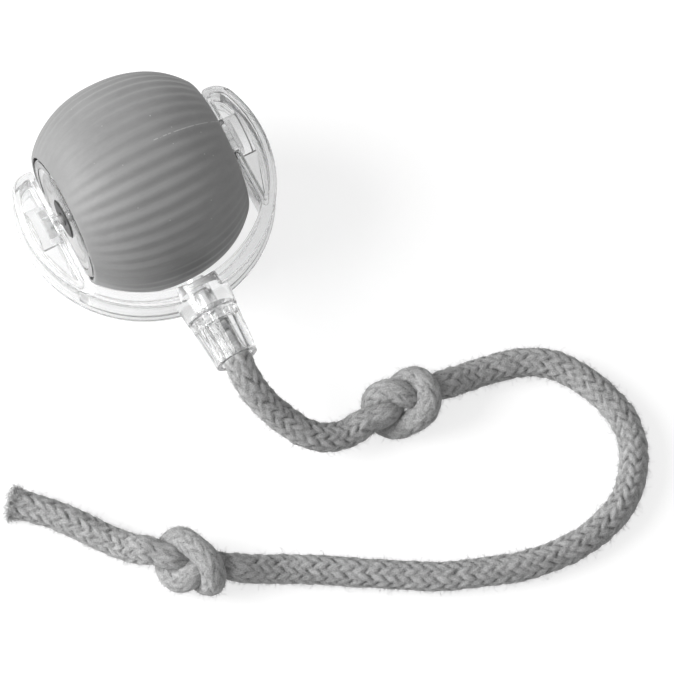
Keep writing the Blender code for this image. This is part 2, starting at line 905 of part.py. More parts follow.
# Fixed ends: each end plate has a hub ring, two screw posts and the bush of the axle pin
for side, hand in (("left", -1), ("right", 1)):
    plate_profile = [
        (end_plate_outer, end_plate_radius),
        (plate_inner, end_plate_radius),
        (plate_inner, hub_ring_radius),
        (hub_ring_start, hub_ring_radius),
        (hub_ring_start, hub_ring_radius - hub_ring_wall),
        (plate_inner, hub_ring_radius - hub_ring_wall),
        (plate_inner, bush_radius + FIT_GAP),
        (end_plate_outer, bush_radius + FIT_GAP),
    ]
    plate = turned(
        "end_plate_" + side, [(hand * x, r) for x, r in plate_profile], core, CLEAR_PLASTIC
    )
    for end, way in (("front", -1), ("back", 1)):
        spot = (0, way * post_side, post_z)
        ends = sorted((hand * hub_ring_start, hand * (plate_inner + end_plate_width / 2)))
        post = rod("_".join(("post", side, end)), *ends, post_radius, core, at=spot)
        pilot_ends = sorted(
            (hand * (hub_ring_start - CUT_OVERRUN), hand * (plate_inner - FIT_GAP))
        )
        pilot = rod(
            "_".join(("pilot", side, end)),
            *pilot_ends,
            plate_screw_radius + FIT_GAP,
            core,
            at=spot,
            steps=12,
        )
        join(plate, post)
        cut(plate, pilot)
        head_start = chassis_flange_start - FIT_GAP
        screw_profile = [
            (head_start - screw_head_height, 0),
            (head_start - screw_head_height, screw_head_radius),
            (head_start, screw_head_radius),
            (head_start, plate_screw_radius),
            (head_start + plate_screw_length, plate_screw_radius),
            (head_start + plate_screw_length, 0),
        ]
        turned(
            "_".join(("plate_screw", side, end)),
            [(hand * x, r) for x, r in screw_profile],
            core,
            BRIGHT_STEEL,
            at=spot,
            steps=16,
        )
    if side == "right":
        port_hole = block(
            "port_hole",
            (plate_inner - FIT_GAP, -port_half_width - FIT_GAP, port_bottom - FIT_GAP),
            (end_plate_outer + CUT_OVERRUN, port_half_width + FIT_GAP, port_top + FIT_GAP),
            core,
        )
        button_hole = rod(
            "button_hole",
            plate_inner - CUT_OVERRUN,
            end_plate_outer + CUT_OVERRUN,
            button_radius + FIT_GAP,
            button,
        )
        cut(plate, port_hole, button_hole)
    ring_front = shell_inner_end - bearing_ring_margin / 2
    ring_profile = [
        (ring_front, bearing_bore_radius - bearing_ring_gap),
        (ring_front - bearing_ring_length, bearing_bore_radius - bearing_ring_gap),
        (ring_front - bearing_ring_length, hub_ring_radius + FIT_GAP),
        (ring_front, hub_ring_radius + FIT_GAP),
    ]
    turned(
        "bearing_ring_" + side, [(hand * x, r) for x, r in ring_profile], core, WHITE_PLASTIC
    )
    bush_profile = [
        (bush_start, bush_radius),
        (bush_start + bush_length, bush_radius),
        (bush_start + bush_length, axle_radius + FIT_GAP),
        (bush_start, axle_radius + FIT_GAP),
    ]
    turned(
        "bush_" + side,
        [(hand * x, r) for x, r in bush_profile],
        core,
        BLACK_PLASTIC,
        steps=32,
    )
    pin_ends = sorted((hand * axle_start, hand * (axle_key_start + axle_key_length / 2)))
    pin = rod("axle_pin_" + side, *pin_ends, axle_radius, yoke, BRIGHT_STEEL, steps=20)
    key_ends = sorted((hand * axle_key_start, hand * (axle_key_start + axle_key_length)))
    key = block(
        "key_blank_" + side,
        (key_ends[0], -axle_key_height / 2, -axle_key_width / 2),
        (key_ends[1], axle_key_height / 2, axle_key_width / 2),
        yoke,
    )
    join(pin, key)

# Circuit board with the charging port, the switch under the button and the status light
board_disc = circle(board_radius, 28)
board = flat(
    "circuit_board",
    [board_disc] + board_screw_holes,
    board_start,
    board_end,
    core,
    GREEN_BOARD,
    along="x",
)
for end, way in (("front", -1), ("back", 1)):
    notch = rod(
        "notch_" + end,
        board_start - CUT_OVERRUN,
        board_end + CUT_OVERRUN,
        post_radius + FIT_GAP,
        core,
        at=(0, way * post_side, post_z),
    )
    cut(board, notch)
    turned(
        "board_screw_" + end,
        [
            (on_board + board_screw_head_height, 0),
            (on_board + board_screw_head_height, board_screw_head_radius),
            (on_board, board_screw_head_radius),
            (on_board, board_screw_radius),
            (chassis_flange_start + FIT_GAP, board_screw_radius),
            (chassis_flange_start + FIT_GAP, 0),
        ],
        core,
        BRIGHT_STEEL,
        at=(0, way * board_screw_side, board_screw_z),
        steps=12,
    )
port = block(
    "charge_port",
    (on_board, -port_half_width, port_bottom),
    (port_outer, port_half_width, port_top),
    core,
    BRIGHT_STEEL,
)
mouth_floor = on_board + port_height
mouth = block(
    "port_mouth",
    (mouth_floor, -port_half_width + port_wall, port_bottom + port_wall),
    (port_outer + CUT_OVERRUN, port_half_width - port_wall, port_top - port_wall),
    core,
)
tongue_middle = (port_bottom + port_top) / 2
tongue = block(
    "port_tongue",
    (mouth_floor - port_wall, -port_half_width / 2, tongue_middle - port_tongue / 2),
    (port_outer - port_height / 2, port_half_width / 2, tongue_middle + port_tongue / 2),
    core,
)
cut(port, mouth)
join(port, tongue)
block(
    "tact_switch",
    (on_board, -switch_half_y, button_z - switch_half_z),
    (on_board + switch_height, switch_half_y, button_z + switch_half_z),
    core,
    BLACK_PLASTIC,
)
block(
    "status_led",
    (on_board, led_y - led_half_y, led_z - led_half_z),
    (on_board + led_height, led_y + led_half_y, led_z + led_half_z),
    core,
    WHITE_PLASTIC,
)
turned(
    "power_button",
    [
        (button_tip_start, 0),
        (button_tip_start, button_radius),
        (button_flange_start, button_radius),
        (button_flange_start, button_flange_radius),
        (button_flange_start + button_flange_width, button_flange_radius),
        (button_flange_start + button_flange_width, button_radius),
        (button_end, button_radius),
        (button_end, 0),
    ],
    button,
    GRAY_SILICONE,
    steps=24,
)

# Clear yoke: an arch in plan, pocketed from both faces, with a boss on each ear
yoke_outer_middle = (0, -yoke_outer_centre)
yoke_inner_middle = (0, -yoke_inner_centre)
outer_from = math.atan2(ear_corner_y + yoke_outer_centre, ear_corner_x)
outer_points = arc(
    yoke_outer_radius, yoke_outer_middle, outer_from, -math.pi - outer_from, 44
)
inner_from = math.atan2(-wall_meets, -ear_inner_wall)
inner_points = arc(
    yoke_inner_radius, yoke_inner_middle, inner_from, -math.pi - inner_from, 20
)


def ear_corner_arc(radius, steps):
    """An arc round an ear's outer corner, from its outer side to its end."""
    return arc(radius, (ear_corner_x, ear_corner_y), outer_from, math.pi / 2, steps)


def ear_tip(hand):
    """The rounded end of an ear, from its outer side to its inner wall."""
    inner_corner = (ear_inner_wall + ear_inner_corner, ear_back - ear_inner_corner)
    tip = ear_corner_arc(ear_corner, 8)[1:]
    tip += arc(ear_inner_corner, inner_corner, math.pi / 2, math.pi, 4)
    return [(hand * across, up) for across, up in tip]


yoke_outline = (
    outer_points
    + ear_tip(-1)
    + inner_points
    + list(reversed(ear_tip(1)))
)
bracket = flat(
    "bracket", [yoke_outline], -yoke_half_height, yoke_half_height, yoke, CLEAR_PLASTIC
)
groove = flat(
    "groove",
    [
        circle(yoke_outer_radius + CUT_OVERRUN, 60, yoke_outer_middle),
        circle(yoke_outer_radius - groove_depth, 60, yoke_outer_middle),
    ],
    -groove_half_width,
    groove_half_width,
    yoke,
)
cut(bracket, groove)

pocket_radius = yoke_outer_radius - rim_wall
pocket_wall = ear_inner_wall + ear_wall
front_angle = -math.asin((pocket_front - yoke_outer_centre) / pocket_radius)
for side, hand in (("left", -1), ("right", 1)):
    pocket_outline = arc(pocket_radius, yoke_outer_middle, front_angle, outer_from, 12)
    pocket_outline += ear_corner_arc(ear_corner - rim_wall, 6)[1:]
    pocket_outline += [(pocket_wall, pocket_back), (pocket_wall, -pocket_front)]
    pocket_outline = [(hand * across, up) for across, up in pocket_outline]
    upper = flat(
        "pocket_upper_" + side,
        [pocket_outline],
        web_thickness / 2,
        yoke_half_height + CUT_OVERRUN,
        yoke,
    )
    lower = flat(
        "pocket_lower_" + side,
        [pocket_outline],
        -yoke_half_height - CUT_OVERRUN,
        -web_thickness / 2,
        yoke,
    )
    cut(bracket, upper, lower)
    boss_ends = sorted((hand * (ear_inner_wall + boss_overlap), hand * boss_end))
    boss = rod("boss_" + side, *boss_ends, boss_radius, yoke, steps=32)
    join(bracket, boss)
    slot_ends = sorted((hand * (ear_inner_wall - CUT_OVERRUN), hand * key_slot_end))
    slot = block(
        "key_slot_" + side,
        (slot_ends[0], -axle_key_height / 2 - key_gap, -axle_key_width / 2 - key_gap),
        (slot_ends[1], axle_key_height / 2 + key_gap, axle_key_width / 2 + key_gap),
        yoke,
    )
    bore = rod(
        "pin_bore_" + side,
        *sorted((hand * (ear_inner_wall - CUT_OVERRUN), hand * (key_slot_end - FIT_GAP))),
        axle_radius + FIT_GAP,
        yoke,
        steps=20,
    )
    cut(bracket, slot, bore)

# Collar on the stem, the swivel screw and washer, and the fluted cap that grips the rope
collar = turned(
    "collar_blank",
    [
        (collar_root, 0),
        (collar_root, collar_base_radius),
        (collar_tip, collar_tip_radius),
        (collar_tip, 0),
    ],
    yoke,
    along="y",
    steps=40,
)
collar_hollow = turned(
    "collar_hollow",
    [
        (yoke_inner_radius - CUT_OVERRUN, 0),
        (yoke_inner_radius - CUT_OVERRUN, washer_recess_radius),
        (collar_floor, washer_recess_radius),
        (collar_floor, swivel_bore_radius),
        (collar_neck, swivel_bore_radius),
        (collar_neck, cap_neck_radius + FIT_GAP),
        (collar_tip + CUT_OVERRUN, cap_neck_radius + FIT_GAP),
        (collar_tip + CUT_OVERRUN, 0),
    ],
    yoke,
    along="y",
    steps=32,
)
join(bracket, collar)
cut(bracket, collar_hollow)
washer_end = collar_floor - FIT_GAP
washer_front = washer_end - washer_thickness
turned(
    "swivel_washer",
    [
        (washer_front, washer_radius),
        (washer_end, washer_radius),
        (washer_end, swivel_bore_radius),
        (washer_front, swivel_bore_radius),
    ],
    swivel,
    BLACK_PLASTIC,
    along="y",
    steps=32,
)
head_end = washer_front - FIT_GAP
turned(
    "swivel_screw",
    [
        (head_end - swivel_head_height, 0),
        (head_end - swivel_head_height, swivel_head_radius),
        (head_end, swivel_head_radius),
        (head_end, swivel_screw_radius),
        (swivel_screw_end, swivel_screw_radius),
        (swivel_screw_end, 0),
    ],
    swivel,
    BRIGHT_STEEL,
    along="y",
    steps=24,
)
cap_blank = turned(
    "cap_blank",
    [
        (cap_neck_start, swivel_bore_radius),
        (cap_neck_start, cap_neck_radius),
        (cap_start, cap_neck_radius),
        (cap_start, cap_base_radius - cap_edge),
        (cap_start + cap_edge, cap_base_radius),
        (cap_end - cap_edge, cap_tip_radius),
        (cap_end, cap_tip_radius - cap_edge),
        (cap_end, rope_radius + FIT_GAP),
        (cap_floor, rope_radius + FIT_GAP),
        (cap_floor, swivel_bore_radius),
    ],
    swivel,
    along="y",
    steps=4 * cap_flutes,
)
cap_mesh = mesh_of(cap_blank)
for vertex in cap_mesh.vertices:
    radius = math.hypot(vertex.co.x, vertex.co.y)
    inside = cap_start + cap_edge / 2 < vertex.co.z < cap_end - cap_edge / 2
    if inside and radius > rope_radius + 2 * FIT_GAP:
        angle = math.atan2(vertex.co.y, vertex.co.x)
        dip = cap_flute_depth * (1 - math.cos(cap_flutes * angle)) / 2
        vertex.co.x -= dip * math.cos(angle)
        vertex.co.y -= dip * math.sin(angle)
bpy.data.objects.remove(cap_blank, do_unlink=True)
cap = place(cap_mesh, "swivel_cap", swivel, CLEAR_PLASTIC)
cap.rotation_euler = ALONG["y"].to_euler()


def smooth_route(points, spacing):
    """Even points on a Catmull-Rom curve through the chosen ones."""
    chosen = np.array(points)
    ends = [2 * chosen[0] - chosen[1], *chosen, 2 * chosen[-1] - chosen[-2]]
    fine = []
    for a, b, c, d in zip(ends, ends[1:], ends[2:], ends[3:]):
        for t in np.linspace(0, 1, 16, endpoint=False):
            line = 2 * b + (c - a) * t + (2 * a - 5 * b + 4 * c - d) * t**2
            fine.append((line + (3 * b - a - 3 * c + d) * t**3) / 2)
    fine = np.array(fine + [chosen[-1]])
    along = np.r_[0, np.cumsum(np.linalg.norm(np.diff(fine, axis=0), axis=1))]
    count = max(2, round(along[-1] / spacing) + 1)
    places = np.linspace(0, along[-1], count)
    return np.array([np.interp(places, along, fine[:, k]) for k in range(3)]).T


def even(points, step):
    along = np.r_[0, np.cumsum(np.linalg.norm(np.diff(points, axis=0), axis=1))]
    places = np.linspace(0, along[-1], max(8, round(along[-1] / step)) + 1)
    return np.array([np.interp(places, along, points[:, k]) for k in range(3)]).T


def near_pairs(count, step):
    """Pairs of points that lie more than half a turn of rope apart."""
    return np.triu_indices(count, round(1.55 / step))


def drawn_knot():
    """An overhand knot drawn tight along X, in rope diameters: shortened, with its strands held apart."""
    step = 0.25
    reach = 3.2
    t = np.linspace(-2.1, 2.1, 300)
    loop = 0.8 * np.c_[t**3 - 3 * t, t**4 - 4 * t**2 + 1.5, 0.2 * (t**5 - 10 * t)]
    points = even(np.vstack([[(-2 * reach, 0, 0)], loop, [(2 * reach, 0, 0)]]), step)
    for turn in range(240):
        end = reach + 3 * max(0, 1 - turn / 60)
        points[0] = (-end, 0, 0)
        points[-1] = (end, 0, 0)
        for _ in range(4):
            points[1:-1] += 0.25 * ((points[:-2] + points[2:]) / 2 - points[1:-1])
        points = even(points, step)
        first, second = near_pairs(len(points), step)
        for _ in range(12):
            between = points[second] - points[first]
            distance = np.sqrt((between**2).sum(axis=1))
            close = distance < 1
            if not close.any():
                break
            push = between[close] * (0.25 * (1 / distance[close] - 1))[:, None]
            np.add.at(points, second[close], push)
            np.add.at(points, first[close], -push)
            points[0, 1:] = 0
            points[-1, 1:] = 0
    return points


knot_shape = drawn_knot()
exit_level = np.array(
    [np.interp(knot_reach_share, knot_shape[-20:, 0], knot_shape[-20:, k]) for k in (1, 2)]
)
knot_shape[:, 1] -= exit_level[0]
knot_shape[:, 2] -= exit_level[1] * knot_shape[:, 0] / knot_reach_share
settle_from_share = 1.25
settle = np.clip((np.abs(knot_shape[:, 0]) - settle_from_share) / 0.5, 0, 1)
knot_shape[:, 1:] *= (1 - settle**2 * (3 - 2 * settle))[:, None]
inside_knot = np.abs(knot_shape[:, 0]) < knot_reach_share
knot_shape = knot_shape[inside_knot]
knot_shape = np.vstack(
    [[(-knot_reach_share, 0, 0)], knot_shape, [(knot_reach_share, 0, 0)]]
)
knot_step_share = 0.28
knot_shape = even(knot_shape, knot_step_share)
knot_reach = knot_reach_share * knot_spacing


def knot_route(start, end, roll, hand=1, sag=0.0):
    """The knot between two places, rolled about the line that joins them and set on the floor.

    Its hand is 1 or -1 for the knot or its mirror image, and it sags to the left of that line.
    """
    heading = math.atan2(end[1] - start[1], end[0] - start[0])
    turn = Matrix.Rotation(heading, 3, "Z") @ Matrix.Rotation(roll, 3, "X")
    shape = knot_shape * np.array((1, 1, hand)) * knot_spacing
    points = np.array([turn @ Vector(point) for point in shape])
    drop = (1 - (shape[:, 0] / knot_reach) ** 2) ** 2
    points[:, 0] -= sag * drop * math.sin(heading)
    points[:, 1] += sag * drop * math.cos(heading)
    middle = [(start[0] + end[0]) / 2, (start[1] + end[1]) / 2]
    lowest = points[:, 2].min()
    height = knot_strand_radius + rope_floor_gap - lowest
    return points + np.array([*middle, height]), height


first, second = near_pairs(len(knot_shape), knot_step_share)
strand_distances = ((knot_shape[first] - knot_shape[second]) ** 2).sum(axis=1)
strand_spacing = math.sqrt(strand_distances.min()) * knot_spacing
knot_strand_radius = (strand_spacing - knot_clear_gap) / 2

# The rope's route, from the cap over the floor to its loose end, in world places
near_knot_start = (17.3 * MM, -60.6 * MM)
near_knot_end = (35.3 * MM, -60.6 * MM)
far_knot_start = (-18.3 * MM, -75.8 * MM)
far_knot_end = (-32.1 * MM, -64.2 * MM)


def knot_ends(start, end):
    """The two places of a knot, moved to lie exactly its reach from their middle."""
    middle = (Vector(start) + Vector(end)) / 2
    half = (Vector(end) - Vector(start)).normalized() * knot_reach
    return middle - half, middle + half


near_start, near_end = knot_ends(near_knot_start, near_knot_end)
far_start, far_end = knot_ends(far_knot_start, far_knot_end)
near_points, near_height = knot_route(near_start, near_end, near_knot_roll)
far_points, far_height = knot_route(
    far_start, far_end, far_knot_roll, hand=-1, sag=far_knot_sag
)

LEAD_ROUTE = [
    (-0.2, -45.2, 16.9),
    (0.3, -48.0, 15.2),
    (1.3, -50.6, 13.2),
    (2.7, -52.9, 11.3),
    (4.2, -55.2, 9.7),
    (6.0, -57.6, 8.3),
    (8.4, -59.4, 7.0),
    (11.0, -60.4, 6.1),
    (14.0, -60.8, 5.5),
]
MIDDLE_ROUTE = [
    (39.0, -60.6, 4.4),
    (42.8, -60.6, 3.2),
    (47.8, -61.4, 3.0),
    (52.7, -62.8, 3.0),
    (56.9, -65.5, 3.0),
    (59.8, -69.2, 3.0),
    (61.9, -73.5, 3.0),
    (63.5, -78.7, 3.0),
    (63.9, -84.0, 3.0),
    (62.5, -89.3, 3.0),
    (59.7, -93.8, 3.0),
    (55.7, -97.7, 3.0),
    (50.5, -100.2, 3.0),
    (44.6, -101.5, 3.0),
    (37.9, -101.5, 3.0),
    (30.8, -100.3, 3.0),
    (23.4, -97.7, 3.0),
    (16.1, -94.8, 3.0),
    (9.4, -90.8, 3.0),
    (2.8, -86.8, 3.0),
    (-3.8, -82.6, 3.0),
    (-9.8, -79.3, 3.1),
    (-14.4, -77.3, 4.1),
]
TAIL_ROUTE = [
    (-34.2, -61.9, 4.2),
    (-36.0, -59.2, 3.2),
    (-37.9, -56.8, 3.0),
    (-40.8, -52.5, 3.0),
    (-44.1, -48.1, 3.0),
    (-47.7, -44.3, 3.0),
    (-50.4, -41.9, 3.0),
]

world_of_stem = Matrix.Translation((0, 0, ball_height)) @ Matrix.Rotation(
    stem_droop, 4, "X"
)


def on_stem(distance):
    """A place on the stem's axis, that far from the ball's middle."""
    return world_of_stem @ Vector((0, -distance, 0))


def at_height(point, height):
    return Vector((*point, height))


axis_in = (near_end - near_start).normalized()
axis_far = (far_end - far_start).normalized()
rope_start = cap_floor + FIT_GAP
lead_points = [on_stem(rope_start), on_stem(cap_end)]
lead_points += [Vector(point) * MM for point in LEAD_ROUTE]
lead_stop = at_height(near_start - axis_in * FIT_GAP, near_height)
lead_points.append(lead_stop)
middle_first = at_height(near_end + axis_in * FIT_GAP, near_height)
middle_last = at_height(far_start - axis_far * FIT_GAP, far_height)
middle_points = [middle_first] + [Vector(point) * MM for point in MIDDLE_ROUTE]
middle_points.append(middle_last)
tail_first = at_height(far_end + axis_far * FIT_GAP, far_height)
tail_points = [tail_first] + [Vector(point) * MM for point in TAIL_ROUTE]


def square_end(route, index, direction):
    """Lay the end segment of a route along a given direction, so that its cap faces its neighbour."""
    inner = 1 if index == 0 else -2
    length = np.linalg.norm(route[inner] - route[index])
    route[inner] = route[index] + np.array(direction) * min(length, rope_radius)
    return route


flat_in = np.array([*axis_in, 0])
flat_far = np.array([*axis_far, 0])
lead_route = square_end(smooth_route(lead_points, lead_point_spacing), -1, -flat_in)
middle_route = smooth_route(middle_points, rope_point_spacing)
middle_route = square_end(middle_route, 0, flat_in)
middle_route = square_end(middle_route, -1, -flat_far)
tail_route = square_end(smooth_route(tail_points, lead_point_spacing), 0, flat_far)


def knot_radii(points):
    """The strand's radius along a knot: thin inside it, the full rope at its ends."""
    along = np.r_[0, np.cumsum(np.linalg.norm(np.diff(points, axis=0), axis=1))]
    from_end = np.minimum(along, along[-1] - along)
    grow = np.clip(1 - from_end / knot_flare, 0, 1)
    return knot_strand_radius + (rope_radius - knot_strand_radius) * grow


def least_gap(points, radii):
    """The least gap between strands of a knot that aren't neighbours along the rope."""
    step = np.linalg.norm(points[1] - points[0]) / knot_spacing
    first, second = near_pairs(len(points), step)
    apart = np.sqrt(((points[first] - points[second]) ** 2).sum(axis=1))
    return (apart - radii[first] - radii[second]).min()


rope = frame_empty("rope_frame", (0, 0, 0))
for name, route in (
    ("rope_lead", lead_route),
    ("rope_middle", middle_route),
    ("rope_tail", tail_route),
):
    tube(name, route, [rope_radius] * len(route), rope, GRAY_ROPE)
for name, route in (("rope_knot_near", near_points), ("rope_knot_far", far_points)):
    radii = knot_radii(route)
    tube(name, route, radii, rope, GRAY_ROPE, 1)
    print(name, "least gap to itself, mm:", round(least_gap(route, radii) / MM, 3))
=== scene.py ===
"""The self rolling cat ball as it looks: a ribbed silicone ball that turns in a clear yoke,
with a swivel and a braided toy rope that has two knots in it.

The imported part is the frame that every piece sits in. Lengths are metres, the ball's axle
lies along X, the rope leaves towards -Y and Z is up, with the floor at zero.
"""

import math

import bmesh
import bpy
import numpy as np
from mathutils import Matrix, Vector


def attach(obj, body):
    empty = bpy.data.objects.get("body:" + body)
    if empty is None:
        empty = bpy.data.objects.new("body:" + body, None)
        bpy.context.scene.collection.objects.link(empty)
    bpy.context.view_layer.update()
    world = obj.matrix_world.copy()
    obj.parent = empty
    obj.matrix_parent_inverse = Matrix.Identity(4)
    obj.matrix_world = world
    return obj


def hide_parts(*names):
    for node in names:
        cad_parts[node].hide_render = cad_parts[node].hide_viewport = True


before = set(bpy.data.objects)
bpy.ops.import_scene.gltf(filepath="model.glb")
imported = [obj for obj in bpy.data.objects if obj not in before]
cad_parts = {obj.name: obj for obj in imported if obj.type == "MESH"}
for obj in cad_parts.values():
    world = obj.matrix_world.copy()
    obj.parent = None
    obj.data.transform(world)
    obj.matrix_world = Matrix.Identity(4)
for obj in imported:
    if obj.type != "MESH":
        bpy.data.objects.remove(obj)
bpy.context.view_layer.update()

# Camera: it stands at the front left of the toy and looks steeply down on it, through a
# long lens from a little under a metre away, so that the pieces keep their proportions.
MM = 0.001
camera_place = Vector((-149.7, -363.6, 832.6)) * MM
camera_back = Vector((-0.1898, -0.3563, 0.9149)).normalized()
camera_right = Vector((0.8826, -0.4701, 0)).normalized()
camera_up = camera_back.cross(camera_right)
camera_lens = 243.7
camera_sensor = 36
camera_reach = 3.0


def linked(name, data):
    """An object in the scene that holds the mesh, camera or lamp."""
    made = bpy.data.objects.new(name, data)
    bpy.context.scene.collection.objects.link(made)
    return made


camera_data = bpy.data.cameras.new("camera")
camera_data.lens = camera_lens
camera_data.sensor_width = camera_sensor
camera_data.clip_end = camera_reach
camera = linked("camera", camera_data)
camera.matrix_world = Matrix.Translation(camera_place) @ Matrix(
    (camera_right, camera_up, camera_back)
).transposed().to_4x4()
bpy.context.scene.camera = camera

# Toy rope: a soft cotton rope, braided in twelve columns of yarn, with two overhand knots in
# it for the cat to catch. One end is gripped in the swivel cap, the other is cut and frayed.
rope_radius = 2.95 * MM
rope_step = 0.3 * MM
rope_smoothing = 30
rope_wander = ((0.35, 17 * MM), (0.2, 7.3 * MM))
table_gap = 0.05 * MM
yarn_table_gap = 0.02 * MM
knot_strand_radius = 2.55 * MM
knot_half_length = 9.0 * MM
knot_blend = 2.5 * MM
knot_lift = 0.8 * MM
knot_sink = 0.3 * MM
yarn_columns = 12
column_samples = 6
pick_length = 2.5 * MM
yarn_lean = 0.5
yarn_reach = 0.68
yarn_half_width = 0.5
yarn_arch = 0.5
yarn_crown = 0.48
yarn_size_spread = 0.2
yarn_shift = 0.12
relief_share = 0.2
felt_least = 0.12
felt_drift = 0.2
felt_drift_lengths = (9.1 * MM, 23 * MM)
felt_in_knot = 0.3
felt_most = 0.65
felt_height = 0.72
fray_length = 1.6 * MM
cap_fray_length = 2.5 * fray_length
fray_swelling = 0.1
fray_scatter = 0.6
fray_height = 1.3
bend_room = 0.8
nearly_straight = 1e-6
cut_end_tone = 0.4

# The rope's way in millimetres: half of a knot, then the free stretches between the knots.
KNOT_HALF = [
    (-9.02, 0.00, 0.00), (-7.88, 0.00, 0.00), (-6.75, 0.05, -0.10), (-5.67, 0.25, -0.43),
    (-4.58, 0.38, -0.62), (-3.46, 0.33, -0.44), (-2.51, 0.11, 0.12), (-1.86, -0.23, 0.98),
    (-1.30, -0.84, 1.75), (-0.68, -1.71, 2.10), (0.08, -2.56, 2.12), (0.96, -3.24, 1.86),
    (1.87, -3.70, 1.35), (2.77, -3.90, 0.67), (3.58, -3.87, -0.13), (4.28, -3.58, -0.98),
    (4.80, -3.04, -1.84), (5.13, -2.26, -2.59), (5.26, -1.28, -3.15), (5.20, -0.19, -3.49),
    (4.94, 0.90, -3.57), (4.45, 1.91, -3.40), (3.78, 2.76, -3.04), (3.00, 3.41, -2.53),
    (2.15, 3.79, -1.88), (1.28, 3.90, -1.14), (0.43, 3.89, -0.38),
]
LEAD = [
    (0.0, -33.37, 18.38), (0.0, -41.34, 17.68), (-0.2, -45.2, 16.9), (0.3, -48.0, 15.2),
    (1.3, -50.6, 13.2), (2.7, -52.9, 11.3), (4.2, -55.2, 9.7), (6.0, -57.6, 8.3),
    (8.4, -59.4, 7.0), (11.0, -60.4, 6.1), (14.0, -60.8, 5.5),
]
MIDDLE = [
    (39.0, -60.6, 4.4), (42.8, -60.6, 3.2), (47.8, -61.4, 3.0), (52.7, -62.8, 3.0),
    (56.9, -65.5, 3.0), (59.8, -69.2, 3.0), (61.9, -73.5, 3.0), (63.5, -78.7, 3.0),
    (63.9, -84.0, 3.0), (62.5, -89.3, 3.0), (59.7, -93.8, 3.0), (55.7, -97.7, 3.0),
    (50.5, -100.2, 3.0), (44.6, -101.5, 3.0), (37.9, -101.5, 3.0), (30.8, -100.3, 3.0),
    (23.4, -97.7, 3.0), (16.1, -94.8, 3.0), (9.4, -90.8, 3.0), (2.8, -86.8, 3.0),
    (-3.8, -82.6, 3.0), (-9.8, -79.3, 3.1), (-14.4, -77.3, 4.1),
]
TAIL = [
    (-34.2, -61.9, 4.2), (-36.0, -59.2, 3.2), (-37.9, -56.8, 3.0), (-40.8, -52.5, 3.0),
    (-44.1, -48.1, 3.0), (-47.7, -44.3, 3.0), (-50.4, -41.9, 3.0),
]
NEAR_KNOT = {"middle": (26.3, -60.6, 5.58), "towards": (1.0, 0.0), "roll": 200, "hand": 1, "sag": 0}
FAR_KNOT = {
    "middle": (-25.2, -70.0, 5.43), "towards": (-13.8, 11.6), "roll": 130, "hand": -1, "sag": 1
}


def knot_line(middle, towards, roll, hand, sag):
    """The line of an overhand knot about its middle, rolled about the way the rope runs."""
    half = np.array(KNOT_HALF)
    line = np.vstack([half, half[::-1] * (-1, 1, -1)])
    heading = math.atan2(towards[1], towards[0])
    turn = Matrix.Rotation(heading, 3, "Z") @ Matrix.Rotation(math.radians(roll), 3, "X")
    placed = line * (1, 1, hand) @ np.array(turn).T
    drop = sag * (1 - (line[:, 0] / line[-1, 0]) ** 2) ** 2
    placed[:, 0] -= drop * math.sin(heading)
    placed[:, 1] += drop * math.cos(heading)
    return placed + np.array(middle) + (0, 0, knot_lift / MM)


def distance_along(points):
    """How far along the line each of its points lies."""
    return np.r_[0, np.cumsum(np.linalg.norm(np.diff(points, axis=0), axis=1))]


def even_line(points, step):
    """The same line with its points a step apart."""
    along = distance_along(points)
    places = np.linspace(0, along[-1], round(along[-1] / step) + 1)
    return np.array([np.interp(places, along, column) for column in points.T]).T


def curve_through(points, step, samples=12):
    """A Catmull-Rom curve through the points, with its own points a step apart."""
    ends = [2 * points[0] - points[1], *points, 2 * points[-1] - points[-2]]
    share = np.linspace(0, 1, samples, endpoint=False)[:, None]
    fine = [
        (2 * b + (c - a) * share + (2 * a - 5 * b + 4 * c - d) * share**2
         + (3 * b - a - 3 * c + d) * share**3) / 2
        for a, b, c, d in zip(ends, ends[1:], ends[2:], ends[3:])
    ]
    return even_line(np.vstack([*fine, points[-1:]]), step)


near_line = knot_line(**NEAR_KNOT)
far_line = knot_line(**FAR_KNOT)
rope_line = curve_through(np.vstack([LEAD, near_line, MIDDLE, far_line, TAIL]) * MM, rope_step)
for _ in range(rope_smoothing):
    rope_line[1:-1] += (rope_line[:-2] + rope_line[2:] - 2 * rope_line[1:-1]) / 4
rope_line = even_line(rope_line, rope_step)
rope_along = distance_along(rope_line)
rope_length = rope_along[-1]

in_knot = np.zeros(len(rope_line))
for line in (near_line, far_line):
    apart = np.linalg.norm(rope_line - line.mean(axis=0) * MM, axis=1)
    in_knot = np.maximum(in_knot, np.clip((knot_half_length - apart) / knot_blend, 0, 1))
strand_radius = rope_radius + (knot_strand_radius - rope_radius) * in_knot
lowest = strand_radius + table_gap - knot_sink * in_knot
rope_line[:, 2] = np.maximum(rope_line[:, 2], lowest)
fray = np.exp(-(rope_length - rope_along) / fray_length)
cap_fray_and_shade = np.exp(-rope_along / cap_fray_length)
strand_radius = strand_radius * (1 + fray_swelling * fray)

ahead = np.gradient(rope_line, axis=0)
ahead /= np.linalg.norm(ahead, axis=1)[:, None]
bend = np.gradient(ahead, rope_along, axis=0)
sides = np.zeros_like(ahead)
side = np.cross(ahead[0], (1, 0, 0))
for i, way in enumerate(ahead):
    side = side - way * side.dot(way)
    side /= np.linalg.norm(side)
    sides[i] = side
others = np.cross(ahead, sides)


